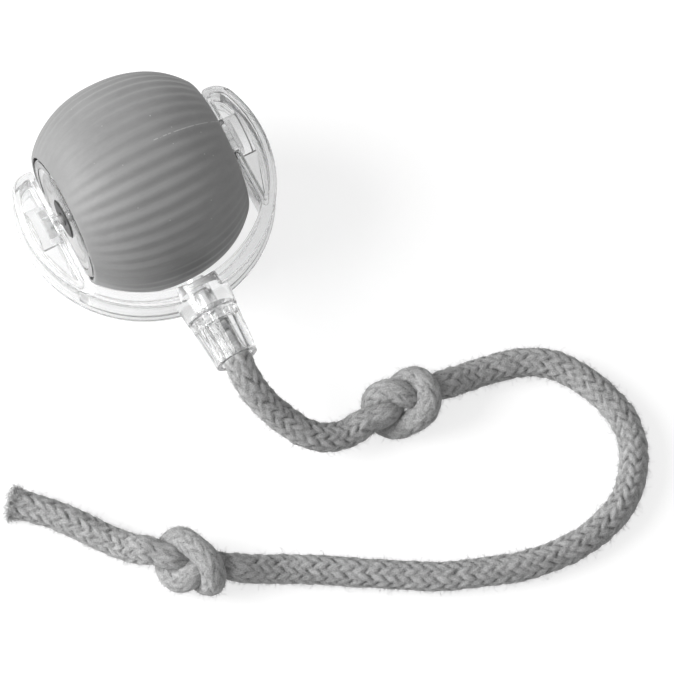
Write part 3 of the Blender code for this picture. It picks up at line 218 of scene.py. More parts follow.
def braid_height(columns, picks, seed):
    """How high the yarns lie: each column's yarns lean against those of its neighbours."""
    chance = np.random.default_rng(seed)
    rows = int(picks.max()) + 4
    size = 1 + yarn_size_spread * chance.uniform(-1, 1, (yarn_columns, rows))
    shift = yarn_shift * chance.uniform(-1, 1, (yarn_columns, rows))
    tint = chance.uniform(0, 1, (yarn_columns, rows))
    height = np.zeros(columns.shape)
    owner = np.zeros(columns.shape)
    first = np.floor(columns).astype(int)
    for step in (-1, 0, 1):
        column = first + step
        share = columns - column - 0.5
        wheel = column % yarn_columns
        lean = np.where(wheel % 2 == 0, yarn_lean, -yarn_lean)
        place = picks + 1.5 - 0.5 * (wheel % 2) - lean * share
        row = np.floor(place).astype(int) % rows
        place = place - np.floor(place) - 0.5 + shift[wheel, row]
        arch = np.clip(1 - (share / yarn_reach) ** 2, 0, 1) ** yarn_arch
        crown = np.clip(1 - (place / yarn_half_width) ** 2, 0, 1) ** yarn_crown
        here = arch * crown * size[wheel, row]
        owner = np.where(here > height, tint[wheel, row], owner)
        height = np.maximum(height, here)
    return height, owner


around = np.linspace(0, yarn_columns, yarn_columns * column_samples, endpoint=False)
columns, picks = np.meshgrid(around, rope_along / pick_length)
wander = sum(reach * np.sin(rope_along / length) for reach, length in rope_wander)
height, owner = braid_height(columns, picks, seed=5)
scatter = np.random.default_rng(seed=9).uniform(-fray_scatter, fray_scatter, height.shape)
height = np.clip(height + scatter * (fray + cap_fray_and_shade)[:, None], 0, fray_height)
short_drift, long_drift = (rope_along / length for length in felt_drift_lengths)
drift = np.sin(short_drift) * np.sin(long_drift + 1)
felted = felt_least + felt_drift * drift[:, None] * np.cos(columns) + felt_in_knot * in_knot[:, None]
height += (felt_height - height) * np.clip(felted, 0, felt_most)
angle = (columns + wander[:, None]) * math.tau / yarn_columns
radius = strand_radius[:, None] * (1 - relief_share + relief_share * height)
offset = (
    np.cos(angle)[..., None] * sides[:, None] + np.sin(angle)[..., None] * others[:, None]
) * radius[..., None]
sharpness = np.maximum(np.linalg.norm(bend, axis=1), nearly_straight)[:, None]
inwards = bend / sharpness
inner = (offset * inwards[:, None]).sum(axis=2)
room = bend_room / sharpness
offset += (np.minimum(inner, room) - inner)[..., None] * inwards[:, None]
rope_points = rope_line[:, None] + offset
rope_points[..., 2] = np.maximum(rope_points[..., 2], yarn_table_gap)


def mesh_of(name, points, faces):
    """A mesh of those points and faces."""
    mesh = bpy.data.meshes.new(name)
    mesh.from_pydata(points, [], faces)
    return mesh


def bands_of(count, size):
    """The faces between rings that have so many points each, one band after another."""
    here = np.arange(count - 1)[:, None] * size + np.arange(size)
    after = np.roll(here, -1, axis=1)
    return np.stack([here, after, after + size, here + size], axis=2).reshape(-1, 4).tolist()


def tube_mesh(name, rings):
    """A closed mesh over rings of points, with a point in the middle of each end."""
    count, size = rings.shape[:2]
    ends = [rings[0].mean(axis=0), rings[-1].mean(axis=0)]
    last = (count - 1) * size
    fans = [((i + 1) % size, i, count * size) for i in range(size)]
    fans += [(last + i, last + (i + 1) % size, count * size + 1) for i in range(size)]
    points = np.vstack([rings.reshape(-1, 3), ends])
    mesh = mesh_of(name, points.tolist(), bands_of(count, size) + fans)
    mesh.shade_smooth()
    return mesh


rope_mesh = tube_mesh("toy_rope", rope_points)
size = len(around)
yarn_values = np.ones((len(rope_mesh.vertices), 4), np.float32)
yarn_values[:-2, 0] = height.ravel()
yarn_values[:-2, 1] = owner.ravel()
# The third share is how far the rope lies in the cap: it frays the yarns there and carries the painted
# shade inside the cap.
yarn_values[:-2, 2] = np.repeat(cap_fray_and_shade, size)
yarn_values[-2:, :2] = cut_end_tone
yarn = rope_mesh.attributes.new("yarn", "FLOAT_COLOR", "POINT")
yarn.data.foreach_set("color", yarn_values.ravel())
corners = np.zeros(len(rope_mesh.loops), int)
rope_mesh.loops.foreach_get("vertex_index", corners)
corners = np.minimum(corners, size * len(rope_line) - 1)
corner_column = corners % size
quads = 4 * size * (len(rope_line) - 1)
per_face = corner_column[:quads].reshape(-1, 4)
wrapped = np.zeros(len(corners), bool)
wrapped[:quads] = ((per_face == 0) & (per_face.max(axis=1) == size - 1)[:, None]).ravel()
lie_values = np.zeros((len(corners), 3), np.float32)
lie_values[:, 0] = corner_column / column_samples + yarn_columns * wrapped
lie_values[:, 1] = rope_along[corners // size] / pick_length
lie = rope_mesh.attributes.new("lie", "FLOAT_VECTOR", "CORNER")
lie.data.foreach_set("vector", lie_values.ravel())
rope = linked("toy_rope", rope_mesh)


def node(tree, kind, inputs=None, **settings):
    """A node with its settings made and its inputs filled with values or other sockets."""
    made = tree.nodes.new(kind)
    for name, value in settings.items():
        setattr(made, name, value)
    for name, value in (inputs or {}).items():
        if isinstance(value, bpy.types.NodeSocket):
            tree.links.new(value, made.inputs[name])
        else:
            made.inputs[name].default_value = value
    return made


def sum_of(tree, operation, *terms, clamp=False):
    """The outcome of one sum on numbers or sockets."""
    inputs = dict(enumerate(terms))
    return node(tree, "ShaderNodeMath", inputs, operation=operation, use_clamp=clamp).outputs[0]


def finish_of(name, roughness=0.5, metallic=0.0, **inputs):
    """A material with one shader: the material, its nodes and the shader."""
    material = bpy.data.materials.new(name)
    material.use_nodes = True
    shader = material.node_tree.nodes["Principled BSDF"]
    shader.inputs["Roughness"].default_value = roughness
    shader.inputs["Metallic"].default_value = metallic
    for label, value in inputs.items():
        shader.inputs[label.replace("_", " ")].default_value = value
    return material, material.node_tree, shader


def object_place(tree, stretch=(1, 1, 1)):
    """The place on the piece, stretched where a pattern runs one way."""
    place = node(tree, "ShaderNodeTexCoord").outputs["Object"]
    return node(tree, "ShaderNodeMapping", {"Vector": place, "Scale": stretch}).outputs["Vector"]


def noise_of(tree, scale, detail=2.0, roughness=0.5, place=None):
    """Noise as a share from zero to one, at the place on the piece if no other is given."""
    place = object_place(tree) if place is None else place
    settings = {"Vector": place, "Scale": scale, "Detail": detail, "Roughness": roughness}
    return node(tree, "ShaderNodeTexNoise", settings).outputs["Fac"]


def around_zero(tree, share, strength):
    """A share from zero to one turned into a value about zero, of that strength."""
    return sum_of(tree, "MULTIPLY", sum_of(tree, "SUBTRACT", share, 0.5), strength)


def ramp_of(tree, share, *stops):
    """Colours blended between stops of (place, colour), where a gray is one number."""
    ramp = node(tree, "ShaderNodeValToRGB", {"Fac": share})
    while len(ramp.color_ramp.elements) < len(stops):
        ramp.color_ramp.elements.new(0.5)
    for element, (place, colour) in zip(ramp.color_ramp.elements, stops):
        element.position = place
        element.color = (*np.broadcast_to(colour, 3), 1)
    return ramp.outputs["Color"]


def coloured(tree, shader, tint):
    """The shader's colour taken from a pattern."""
    tree.links.new(tint, shader.inputs["Base Color"])


def bumped(tree, shader, height, distance, strength=1.0):
    """The shader's surface raised by a height, up to a distance."""
    settings = {"Height": height, "Distance": distance, "Strength": strength}
    tree.links.new(node(tree, "ShaderNodeBump", settings).outputs[0], shader.inputs["Normal"])


cotton_colours = ((0.0, 0.1), (0.3, 0.25), (0.6, 0.41), (0.95, 0.58))
# The next three set the painted shade in the gaps between the yarns and the painted light on their
# crowns.
painted_gap_shade = 0.16
painted_crown_light = 0.8
painted_crown_light_power = 0.8
fibre_contrast = 1.2
felt_contrast = 2.0
yarn_contrast = 0.14
mottle_contrast = 0.35
cap_shade = 0.6
cotton_level = 0.8
fibres_across = 7.0
fibres_along = 1.5
felt_bump = 0.7
cotton, tree, shader = finish_of(
    "cotton_yarn", roughness=0.95, Sheen_Weight=0.2, Sheen_Roughness=0.6, Specular_IOR_Level=0.15
)
yarn_in = node(tree, "ShaderNodeAttribute", attribute_name="yarn").outputs["Color"]
yarn_in = node(tree, "ShaderNodeSeparateColor", {"Color": yarn_in}).outputs
lie_in = node(tree, "ShaderNodeAttribute", attribute_name="lie").outputs["Vector"]
lie_in = node(tree, "ShaderNodeSeparateXYZ", {"Vector": lie_in}).outputs
odd = sum_of(tree, "FLOOR", sum_of(tree, "FLOORED_MODULO", lie_in["X"], 2.0))
lean = sum_of(tree, "SUBTRACT", 1.0, sum_of(tree, "MULTIPLY", odd, 2.0))
share = sum_of(tree, "SUBTRACT", sum_of(tree, "FRACT", lie_in["X"]), 0.5)
across = sum_of(tree, "SUBTRACT", lie_in["Y"], sum_of(tree, "MULTIPLY", share, lean))
twist = noise_of(tree, scale=700.0)
fibre_place = node(tree, "ShaderNodeCombineXYZ", {
    "X": sum_of(tree, "ADD", sum_of(tree, "MULTIPLY", across, fibres_across), twist),
    "Y": sum_of(tree, "MULTIPLY", lie_in["X"], fibres_along),
}).outputs["Vector"]
fibres = noise_of(tree, scale=1.0, detail=3.0, roughness=0.65, place=fibre_place)
felt = noise_of(tree, scale=3600.0, detail=3.0, roughness=0.7)
mottle = noise_of(tree, scale=260.0, detail=3.0)
# The tone rises with the braid's height, from the gaps between the yarns to their crowns: painted shade
# in the gaps and painted light on the crowns.
crown = sum_of(tree, "POWER", yarn_in["Red"], painted_crown_light_power)
tone = sum_of(tree, "ADD", painted_gap_shade, sum_of(tree, "MULTIPLY", crown, painted_crown_light))
for pattern, contrast in (
    (fibres, fibre_contrast),
    (felt, felt_contrast),
    (yarn_in["Green"], yarn_contrast),
    (mottle, mottle_contrast),
):
    tone = sum_of(tree, "ADD", tone, around_zero(tree, pattern, contrast))
# Where the rope lies in the cap, its tone is made darker: painted shade inside the cap.
tone = sum_of(tree, "SUBTRACT", tone, sum_of(tree, "MULTIPLY", yarn_in["Blue"], cap_shade))
tone = sum_of(tree, "MULTIPLY", tone, cotton_level)
coloured(tree, shader, ramp_of(tree, tone, *cotton_colours))
rough_height = sum_of(tree, "ADD", fibres, sum_of(tree, "MULTIPLY", felt, felt_bump))
bumped(tree, shader, rough_height, distance=0.22 * MM, strength=0.9)
rope_mesh.materials.append(cotton)
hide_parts("rope_lead", "rope_knot_near", "rope_middle", "rope_knot_far", "rope_tail")
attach(rope, "swivel")

# Fuzz of the rope: cotton fibres that have worked loose from its yarns, some short and
# straight and some longer and curled, and a tuft of them at the end where it was cut.
fur_sizes = {"Density": 5.2 / MM**2, "Length": 0.6 * MM, "Thickness": 0.021 * MM, "Lean": 0.95}
stray_sizes = {"Density": 1.2 / MM**2, "Length": 1.05 * MM, "Thickness": 0.016 * MM, "Lean": 1.0}
tuft_sizes = {"Density": 11.0 / MM**2, "Length": 1.0 * MM, "Thickness": 0.022 * MM, "Lean": 0.6}
tuft_rings = 5
fibre_curl = {"Start": (0, 0, -0.15), "Middle": (0.1, 0.05, 0.7), "End": (0.85, 0.25, 0.7)}
fibre_growth = (0.4, 1.4)
fibre_colours = ((0.3, 0.32), (0.7, 0.52))
least_height = 0.01 * MM


def node_group(name, **sizes):
    """A Geometry Nodes tree that has one input for the mesh and one for each named size."""
    group = bpy.data.node_groups.new(name, "GeometryNodeTree")
    face = group.interface
    face.new_socket("Geometry", in_out="INPUT", socket_type="NodeSocketGeometry")
    for label, value in sizes.items():
        kind = "NodeSocketInt" if isinstance(value, int) else "NodeSocketFloat"
        face.new_socket(label, in_out="INPUT", socket_type=kind).default_value = value
    face.new_socket("Geometry", in_out="OUTPUT", socket_type="NodeSocketGeometry")
    return group, node(group, "NodeGroupInput").outputs


def finish_group(group, made, material):
    """The end of a tree: what it makes becomes real faces of one material."""
    real = node(group, "GeometryNodeRealizeInstances", {0: made})
    dressed = node(group, "GeometryNodeSetMaterial", {0: real.outputs[0], "Material": material})
    node(group, "NodeGroupOutput", {0: dressed.outputs[0]})


def plain_mesh(piece):
    """What a piece's modifiers make of it, as a mesh of its own in place of the piece."""
    bpy.context.view_layer.update()
    graph = bpy.context.evaluated_depsgraph_get()
    mesh = bpy.data.meshes.new_from_object(piece.evaluated_get(graph), depsgraph=graph)
    bpy.data.objects.remove(piece)
    return mesh


def grown(group, source, name, sizes):
    """The plain mesh that a tree makes from the source mesh with those sizes."""
    carrier = linked(name, source.copy())
    modifier = carrier.modifiers.new("made", "NODES")
    modifier.node_group = group
    for item in group.interface.items_tree:
        if item.in_out == "INPUT" and item.name in sizes:
            modifier[item.identifier] = sizes[item.name]
    mesh = plain_mesh(carrier)
    mesh.name = name
    return mesh


def threefold(tree, value):
    """A vector or a gray that has one value in all three places."""
    return node(tree, "ShaderNodeCombineXYZ", {part: value for part in "XYZ"}).outputs[0]


def lift_off_table(mesh):
    """Points of a mesh that dip into the table are lifted just clear of it."""
    places = np.zeros(3 * len(mesh.vertices))
    mesh.vertices.foreach_get("co", places)
    places[2::3] = np.maximum(places[2::3], least_height)
    mesh.vertices.foreach_set("co", places)


loose, tree, shader = finish_of("loose_fibre", roughness=0.9, Specular_IOR_Level=0.1)
strand_tone = noise_of(tree, scale=1200.0)
coloured(tree, shader, ramp_of(tree, strand_tone, *fibre_colours))


def fibre_tree(name, curled):
    """A tree that scatters fibres over a mesh: straight spikes or longer curled threads."""
    group, sizes = node_group(name, Seed=11, **fur_sizes)
    scatter = node(group, "GeometryNodeDistributePointsOnFaces", {
        "Mesh": sizes["Geometry"], "Density": sizes["Density"], "Seed": sizes["Seed"]
    })
    thin = sum_of(group, "DIVIDE", sizes["Thickness"], sizes["Length"])
    if curled:
        hair = node(group, "GeometryNodeCurveQuadraticBezier", {"Resolution": 3, **fibre_curl})
        circle = node(group, "GeometryNodeCurvePrimitiveCircle", {"Resolution": 3, "Radius": 1.0})
        thread = {0: circle.outputs[0], "Scale": threefold(group, thin)}
        thread = node(group, "GeometryNodeTransform", thread)
        strand = node(group, "GeometryNodeCurveToMesh", {
            0: hair.outputs[0], 1: thread.outputs[0], "Fill Caps": True
        })
    else:
        strand = node(group, "GeometryNodeMeshCone", {
            "Vertices": 3, "Radius Top": 0.0, "Radius Bottom": thin, "Depth": 1.0
        })
    other_way = sum_of(group, "MULTIPLY", sizes["Lean"], -1.0)
    tilts = [
        node(group, "FunctionNodeRandomValue", {2: other_way, 3: sizes["Lean"], "Seed": seed}).outputs[1]
        for seed in (3, 4)
    ]
    spin = node(group, "FunctionNodeRandomValue", {2: 0.0, 3: math.tau, "Seed": 5}).outputs[1]
    turn = node(group, "ShaderNodeCombineXYZ", {"X": tilts[0], "Y": tilts[1], "Z": spin}).outputs[0]
    turned = node(group, "FunctionNodeRotateRotation", {
        "Rotation": scatter.outputs["Rotation"], "Rotate By": turn
    }, rotation_space="LOCAL")
    least, most = fibre_growth
    grow = node(group, "FunctionNodeRandomValue", {2: least, 3: most, "Seed": 6}).outputs[1]
    long = sum_of(group, "MULTIPLY", grow, sizes["Length"])
    hairs = node(group, "GeometryNodeInstanceOnPoints", {
        "Points": scatter.outputs[0], "Instance": strand.outputs[0],
        "Rotation": turned.outputs[0], "Scale": threefold(group, long),
    })
    finish_group(group, hairs.outputs[0], loose)
    return group


spikes = fibre_tree("loose_spikes", curled=False)
threads = fibre_tree("loose_threads", curled=True)
cut_end = tube_mesh("cut_end", rope_points[-tuft_rings:])
for name, group, source, sizes in (
    ("rope_fur", spikes, rope_mesh, fur_sizes),
    ("rope_strays", threads, rope_mesh, stray_sizes),
    ("rope_tuft", threads, cut_end, tuft_sizes),
):
    fibre_mesh = grown(group, source, name, sizes)
    lift_off_table(fibre_mesh)
    fibre_piece = linked(name, fibre_mesh)
    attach(fibre_piece, "swivel")

# Gears: the ring gear that turns the ball, the compound gear that drives it and the steel
# shaft that it runs on. The gears are moulded in white acetal, with a faint flow pattern.
sharp_edge = math.radians(32)


def plastic(name, dark, light, roughness=0.38, scale=260.0):
    """Moulded plastic: a faint cloudy flow in its colour and the mould's fine grain."""
    material, tree, shader = finish_of(name, roughness)
    cloud = noise_of(tree, scale, detail=3.0)
    grain = noise_of(tree, scale=3000.0)
    coloured(tree, shader, ramp_of(tree, cloud, (0.3, dark), (0.7, light)))
    bumped(tree, shader, grain, distance=0.02 * MM, strength=0.4)
    return material


def steel(name, dark, light, roughness, stretch):
    """Turned or drawn steel: fine marks that run one way, in its colour and its surface."""
    material, tree, shader = finish_of(name, roughness, metallic=1.0)
    place = object_place(tree, stretch)
    marks = noise_of(tree, scale=900.0, detail=4.0, roughness=0.7, place=place)
    coloured(tree, shader, ramp_of(tree, marks, (0.3, dark), (0.7, light)))
    bumped(tree, shader, marks, distance=0.02 * MM, strength=0.5)
    return material


def finished(name, material, body):
    """A piece in the shape of its CAD solid, with its loose triangles merged and its faces
    made smooth, except where they meet at a sharp edge."""
    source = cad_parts[name].data
    points = np.zeros(3 * len(source.vertices))
    source.vertices.foreach_get("co", points)
    faces = np.zeros(len(source.loops), int)
    source.loops.foreach_get("vertex_index", faces)
    points, place = np.unique(points.reshape(-1, 3), axis=0, return_inverse=True)
    faces = place.ravel()[faces].reshape(-1, 3)
    mesh = mesh_of(name + "_finish", points.tolist(), faces.tolist())
    mesh.materials.append(material)
    mesh.shade_smooth()
    mesh.set_sharp_from_angle(angle=sharp_edge)
    piece = linked(name + "_finish", mesh)
    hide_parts(name)
    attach(piece, body)
    return piece


acetal = plastic("white_acetal", dark=0.66, light=0.78)
turned_steel = steel("turned_steel", dark=0.68, light=0.84, roughness=0.25, stretch=(8, 1, 1))
finished("ring_gear", acetal, "ball")
finished("reduction_gear", acetal, "reduction")
finished("gear_shaft", turned_steel, "carrier")

# Motor: a small flat-sided can of drawn steel that stays still inside the ball, with its
# shaft and the bright steel pinion that is pressed onto it.
drawn_steel = steel("drawn_steel", dark=0.42, light=0.62, roughness=0.3, stretch=(1, 6, 6))
finished("motor", drawn_steel, "carrier")
finished("motor_shaft", turned_steel, "pinion")
finished("motor_pinion", turned_steel, "pinion")

# Battery: a flat lithium cell in a crinkled foil pouch, held under the deck by a strip of
# gray foam, with a red and a black lead to the board. Two more leads go to the motor.
foil, tree, shader = finish_of("crinkled_foil", roughness=0.32, metallic=1.0)
creases = node(tree, "ShaderNodeTexVoronoi", {
    "Vector": object_place(tree, (1, 1, 0.4)), "Scale": 420.0
}, feature="SMOOTH_F1").outputs["Distance"]
coloured(tree, shader, ramp_of(tree, creases, (0.1, 0.62), (0.8, 0.45)))
bumped(tree, shader, creases, distance=0.12 * MM, strength=0.5)
foam, tree, shader = finish_of("gray_foam", roughness=0.95, Specular_IOR_Level=0.1)
foam_pores_and_shade = node(tree, "ShaderNodeTexVoronoi", {
    "Vector": object_place(tree), "Scale": 2200.0
}).outputs["Distance"]
# The foam is painted darker in its pores, where its bump lies lowest: painted shade in the pores.
coloured(tree, shader, ramp_of(tree, foam_pores_and_shade, (0.2, 0.05), (0.7, 0.13)))
bumped(tree, shader, foam_pores_and_shade, distance=0.1 * MM)
red_dark, red_light = (0.38, 0.012, 0.012), (0.52, 0.025, 0.02)
red_wire = plastic("red_wire", red_dark, red_light, roughness=0.42, scale=500.0)
black_wire = plastic("black_wire", dark=0.012, light=0.022, roughness=0.42, scale=500.0)
finished("battery", foil, "carrier")
finished("battery_pad", foam, "carrier")
for side, lead_finish in (("red", red_wire), ("black", black_wire)):
    finished("battery_lead_" + side, lead_finish, "carrier")
    finished("motor_lead_" + side, lead_finish, "carrier")

# Chassis: one white moulding with a deck between two discs, which carries the motor, the
# battery and the gears, and two slippery white rings that the turning shells run on.
nylon = plastic("white_nylon", dark=0.7, light=0.8, roughness=0.42)
for name in ("chassis_frame", "bearing_ring_left", "bearing_ring_right"):
    finished(name, nylon, "carrier")

# Circuit board at the right-hand end: green solder mask over copper traces, with the
# charging port's steel shell, the switch under the button, the light and two screws.
mask, tree, shader = finish_of("solder_mask", roughness=0.35)
traces = node(tree, "ShaderNodeTexBrick", {
    "Vector": object_place(tree), "Scale": 900.0, "Mortar Size": 0.03,
    "Color1": (0.012, 0.11, 0.045, 1), "Color2": (0.02, 0.15, 0.06, 1),
    "Mortar": (0.03, 0.2, 0.08, 1),
})
coloured(tree, shader, traces.outputs["Color"])
bumped(tree, shader, traces.outputs["Fac"], distance=0.03 * MM, strength=0.6)
black_nylon = plastic("black_nylon", dark=0.022, light=0.04, roughness=0.42)
lens = plastic("light_lens", dark=0.75, light=0.85, roughness=0.25)
finished("circuit_board", mask, "carrier")
finished("charge_port", drawn_steel, "carrier")
finished("tact_switch", black_nylon, "carrier")
finished("status_led", lens, "carrier")
for end in ("front", "back"):
    finished("board_screw_" + end, turned_steel, "carrier")

# Half shells: two clear polycarbonate cups, lapped together round the works and hidden by
# the sleeve, except for the bearing lips that show round the plates at both ends.
clear_tint = (0.965, 0.967, 0.97)
clear_shadow = (0.86, 0.86, 0.86, 1)


def clear_finish(name, roughness=0.08, tint=clear_tint, haze=0.0):
    """Clear polycarbonate, which lets lamps shine through it and shows its moulded flow."""
    material, tree, shader = finish_of(name, roughness, IOR=1.46, Transmission_Weight=1 - haze)
    shader.inputs["Base Color"].default_value = (*tint, 1)
    flow = noise_of(tree, scale=140.0)
    bumped(tree, shader, flow, distance=0.05 * MM, strength=0.25)
    lit = node(tree, "ShaderNodeBsdfTransparent", {"Color": clear_shadow})
    rays = node(tree, "ShaderNodeLightPath").outputs["Is Shadow Ray"]
    mix = node(tree, "ShaderNodeMixShader", {0: rays, 1: shader.outputs[0], 2: lit.outputs[0]})
    tree.links.new(mix.outputs[0], tree.nodes["Material Output"].inputs["Surface"])
    return material


clear = clear_finish("clear_plastic")
for side in ("left", "right"):
    finished("shell_" + side, clear, "ball")

# Silicone sleeve: a soft gray skin moulded in one piece and stretched over the shells, with
# shallow ribs from end to end, a flash line along one of them that is painted light as a
# painted highlight, and rolled-in round ends.
ball_radius = 21.5 * MM
ball_height = 21.3 * MM
ball_half_length = 17.5 * MM
ball_end_radius = 13.4 * MM
sleeve_wall = 1.8 * MM
sleeve_half_length = 17.05 * MM
sleeve_lip = 0.9 * MM
barrel_power = 2.2
ribs = 44
rib_depth = 0.32 * MM
samples_per_rib = 8
profile_points = 80
profile_step = 0.2 * MM
profile_passes = 5
rolled_end = 1.6 * MM
flat_stride = 5
sleeve_colours = ((0.3, 0.237), (0.7, 0.287))
streak_contrast = 0.35
speck_size = 0.045
speck_and_highlight_colour = (0.6, 0.6, 0.6, 1)
speck_and_highlight_strength = 0.6
flash_turn = math.radians(97)
flash_start = 2.5 * MM
flash_half_width = 0.1 * MM
flash_gaps = 0.42


def barrel(belly, end_radius, x):
    """The radius of the barrel shape at a place along its axle."""
    reach = ball_half_length / (1 - (end_radius / belly) ** barrel_power) ** (1 / barrel_power)
    return belly * (1 - (abs(x) / reach) ** barrel_power) ** (1 / barrel_power)


def softened(points, step, passes):
    """A closed outline with even points a step apart and its corners rounded off."""
    points = np.array(points)
    outline = even_line(np.vstack([points, points[:1]]), step)[:-1]
    for _ in range(passes):
        outline = outline / 2 + (np.roll(outline, 1, axis=0) + np.roll(outline, -1, axis=0)) / 4
    x, y = outline.T
    turning = np.sum(x * np.roll(y, -1) - np.roll(x, -1) * y)
    return outline if turning > 0 else outline[::-1]


def turned_mesh(name, profile, steps, place=Matrix()):
    """A profile of (x, radius) points turned about X and then put in its place: a closed
    one, or for a solid body one that starts and ends on the axle."""
    turns = np.linspace(0, math.tau, steps, endpoint=False)
    x, r = np.array(profile).T
    rings = [np.tile(x, (steps, 1)), np.outer(np.cos(turns), r), np.outer(np.sin(turns), r)]
    count = len(x)
    here = (np.arange(steps) * count)[:, None] + np.arange(count)
    ahead = np.roll(here, -1, axis=1)
    faces = np.stack([here, ahead, np.roll(ahead, -1, axis=0), np.roll(here, -1, axis=0)], axis=2)
    faces = faces if r[0] > 0 else faces[:, :-1]
    points = np.stack(rings, axis=2).reshape(-1, 3)
    mesh = mesh_of(name, points.tolist(), faces.reshape(-1, 4).tolist())
    made = bmesh.new()
    made.from_mesh(mesh)
    bmesh.ops.remove_doubles(made, verts=made.verts, dist=0.001 * MM)
    made.to_mesh(mesh)
    made.free()
    mesh.shade_smooth()
    mesh.transform(place)
    return mesh


def blended(tree, share, first, second):
    """A colour on the way from one to another, by a share from zero to one."""
    inputs = {0: share, 6: first, 7: second}
    return node(tree, "ShaderNodeMix", inputs, data_type="RGBA").outputs[2]


ball_place = Matrix.Translation((0, 0, ball_height))
places = np.linspace(-sleeve_half_length, sleeve_half_length, profile_points)
inner_end = ball_end_radius - sleeve_lip
profile = [(x, barrel(ball_radius, ball_end_radius, x)) for x in places]
profile += [(x, barrel(ball_radius - sleeve_wall, inner_end, x)) for x in places[::-1]]
profile = softened(profile, profile_step, profile_passes)
at_end = np.abs(profile[:, 0]) > sleeve_half_length - rolled_end
profile = profile[at_end | (np.arange(len(profile)) % flat_stride == 0)]
sleeve_blank = turned_mesh("sleeve_blank", profile, ribs * samples_per_rib, ball_place)
silicone, tree, shader = finish_of("gray_silicone", roughness=0.58, Sheen_Weight=0.12)
place = object_place(tree)
drawn_out = object_place(tree, stretch=(0.12, 1, 1))
cloud = noise_of(tree, scale=90.0, detail=5.0, roughness=0.6, place=place)
streaks = noise_of(tree, scale=1500.0, detail=3.0, roughness=0.7, place=drawn_out)
specks = node(tree, "ShaderNodeTexVoronoi", {"Vector": place, "Scale": 320.0}).outputs["Distance"]
speck = sum_of(tree, "LESS_THAN", specks, speck_size)
x, y, z = node(tree, "ShaderNodeSeparateXYZ", {"Vector": place}).outputs
turn = sum_of(tree, "ARCTAN2", sum_of(tree, "SUBTRACT", z, ball_height), y)
apart = sum_of(tree, "ABSOLUTE", sum_of(tree, "SUBTRACT", turn, flash_turn))
# The flash line along one rib is painted lighter: a painted highlight along a real mould line. The
# specks are dust.
flash_highlight = sum_of(tree, "LESS_THAN", apart, flash_half_width / ball_radius)
flash_highlight = sum_of(tree, "MULTIPLY", flash_highlight, sum_of(tree, "GREATER_THAN", x, flash_start))
breaks = noise_of(tree, scale=1400.0, detail=0.0, place=place)
flash_highlight = sum_of(tree, "MULTIPLY", flash_highlight, sum_of(tree, "GREATER_THAN", breaks, flash_gaps))
marks = sum_of(tree, "MULTIPLY", sum_of(tree, "MAXIMUM", speck, flash_highlight), speck_and_highlight_strength)
tone = sum_of(tree, "ADD", cloud, around_zero(tree, streaks, streak_contrast))
plain = ramp_of(tree, tone, *sleeve_colours)
coloured(tree, shader, blended(tree, marks, plain, speck_and_highlight_colour))
grain = sum_of(tree, "ADD", noise_of(tree, scale=2600.0, place=place), streaks)
bumped(tree, shader, grain, distance=0.04 * MM, strength=0.5)

rib_sizes = {
    "Ribs": float(ribs), "Depth": rib_depth, "Middle": 0.0, "Half length": ball_half_length,
    "Axle height": ball_height, "Fade": 7.0,
}


def ribbed(name, blank, material, sizes):
    """A turned mesh with ribs pressed into its outer skin, which fade towards its ends."""
    group, inputs = node_group(name + "_ribs", **sizes)
    position = node(group, "GeometryNodeInputPosition").outputs[0]
    x, y, z = node(group, "ShaderNodeSeparateXYZ", {0: position}).outputs
    rise = sum_of(group, "SUBTRACT", z, inputs["Axle height"])
    turn = sum_of(group, "ARCTAN2", rise, y)
    wave = sum_of(group, "COSINE", sum_of(group, "MULTIPLY", turn, inputs["Ribs"]))
    from_middle = sum_of(group, "SUBTRACT", x, inputs["Middle"])
    share = sum_of(group, "DIVIDE", from_middle, inputs["Half length"])
    share = sum_of(group, "POWER", sum_of(group, "ABSOLUTE", share), inputs["Fade"])
    depth = sum_of(group, "SUBTRACT", 1.0, share, clamp=True)
    depth = sum_of(group, "MULTIPLY", depth, inputs["Depth"])
    dip = sum_of(group, "MULTIPLY", sum_of(group, "SUBTRACT", wave, 1.0), depth)
    facing = node(group, "GeometryNodeInputNormal").outputs[0]
    away = node(group, "ShaderNodeCombineXYZ", {"Y": y, "Z": rise}).outputs[0]
    away = node(group, "ShaderNodeVectorMath", {0: away}, operation="NORMALIZE").outputs[0]
    skin = node(group, "ShaderNodeVectorMath", {0: facing, 1: away}, operation="DOT_PRODUCT").outputs[1]
    skin = sum_of(group, "MULTIPLY", skin, 0.5, clamp=True)
    push = {0: away, "Scale": sum_of(group, "MULTIPLY", dip, skin)}
    push = node(group, "ShaderNodeVectorMath", push, operation="SCALE").outputs[0]
    made = node(group, "GeometryNodeSetPosition", {0: inputs["Geometry"], "Offset": push})
    finish_group(group, made.outputs[0], material)
    return grown(group, blank, name, sizes)


sleeve_mesh = ribbed("ribbed_sleeve", sleeve_blank, silicone, rib_sizes)
lift_off_table(sleeve_mesh)
sleeve = linked("ribbed_sleeve", sleeve_mesh)
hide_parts("silicone_sleeve")
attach(sleeve, "ball")

# End plates: clear discs that close both ends and stay still with the works, their rims
# just inside the turning shells, each with a black bush for the axle pin and two small
# screws. The right one carries the soft button.
plate_inside_rim = 10.4 * MM
plate_radius = 10.88 * MM
for side in ("left", "right"):
    plate = finished("end_plate_" + side, clear, "carrier")
    for vertex in plate.data.vertices:
        apart = math.hypot(vertex.co.y, vertex.co.z - ball_height)
        if apart > plate_inside_rim:
            vertex.co.y *= plate_radius / apart
            vertex.co.z = ball_height + (vertex.co.z - ball_height) * plate_radius / apart
    finished("bush_" + side, black_nylon, "carrier")
    for end in ("_front", "_back"):
        finished("plate_screw_" + side + end, turned_steel, "carrier")
finished("power_button", silicone, "button")

# Axle pins: bright turned pins with a flattened key at the outer end, which hold the works
# in the yoke so that only the shells and the sleeve turn.
for side in ("left", "right"):
    finished("axle_pin_" + side, turned_steel, "carrier")

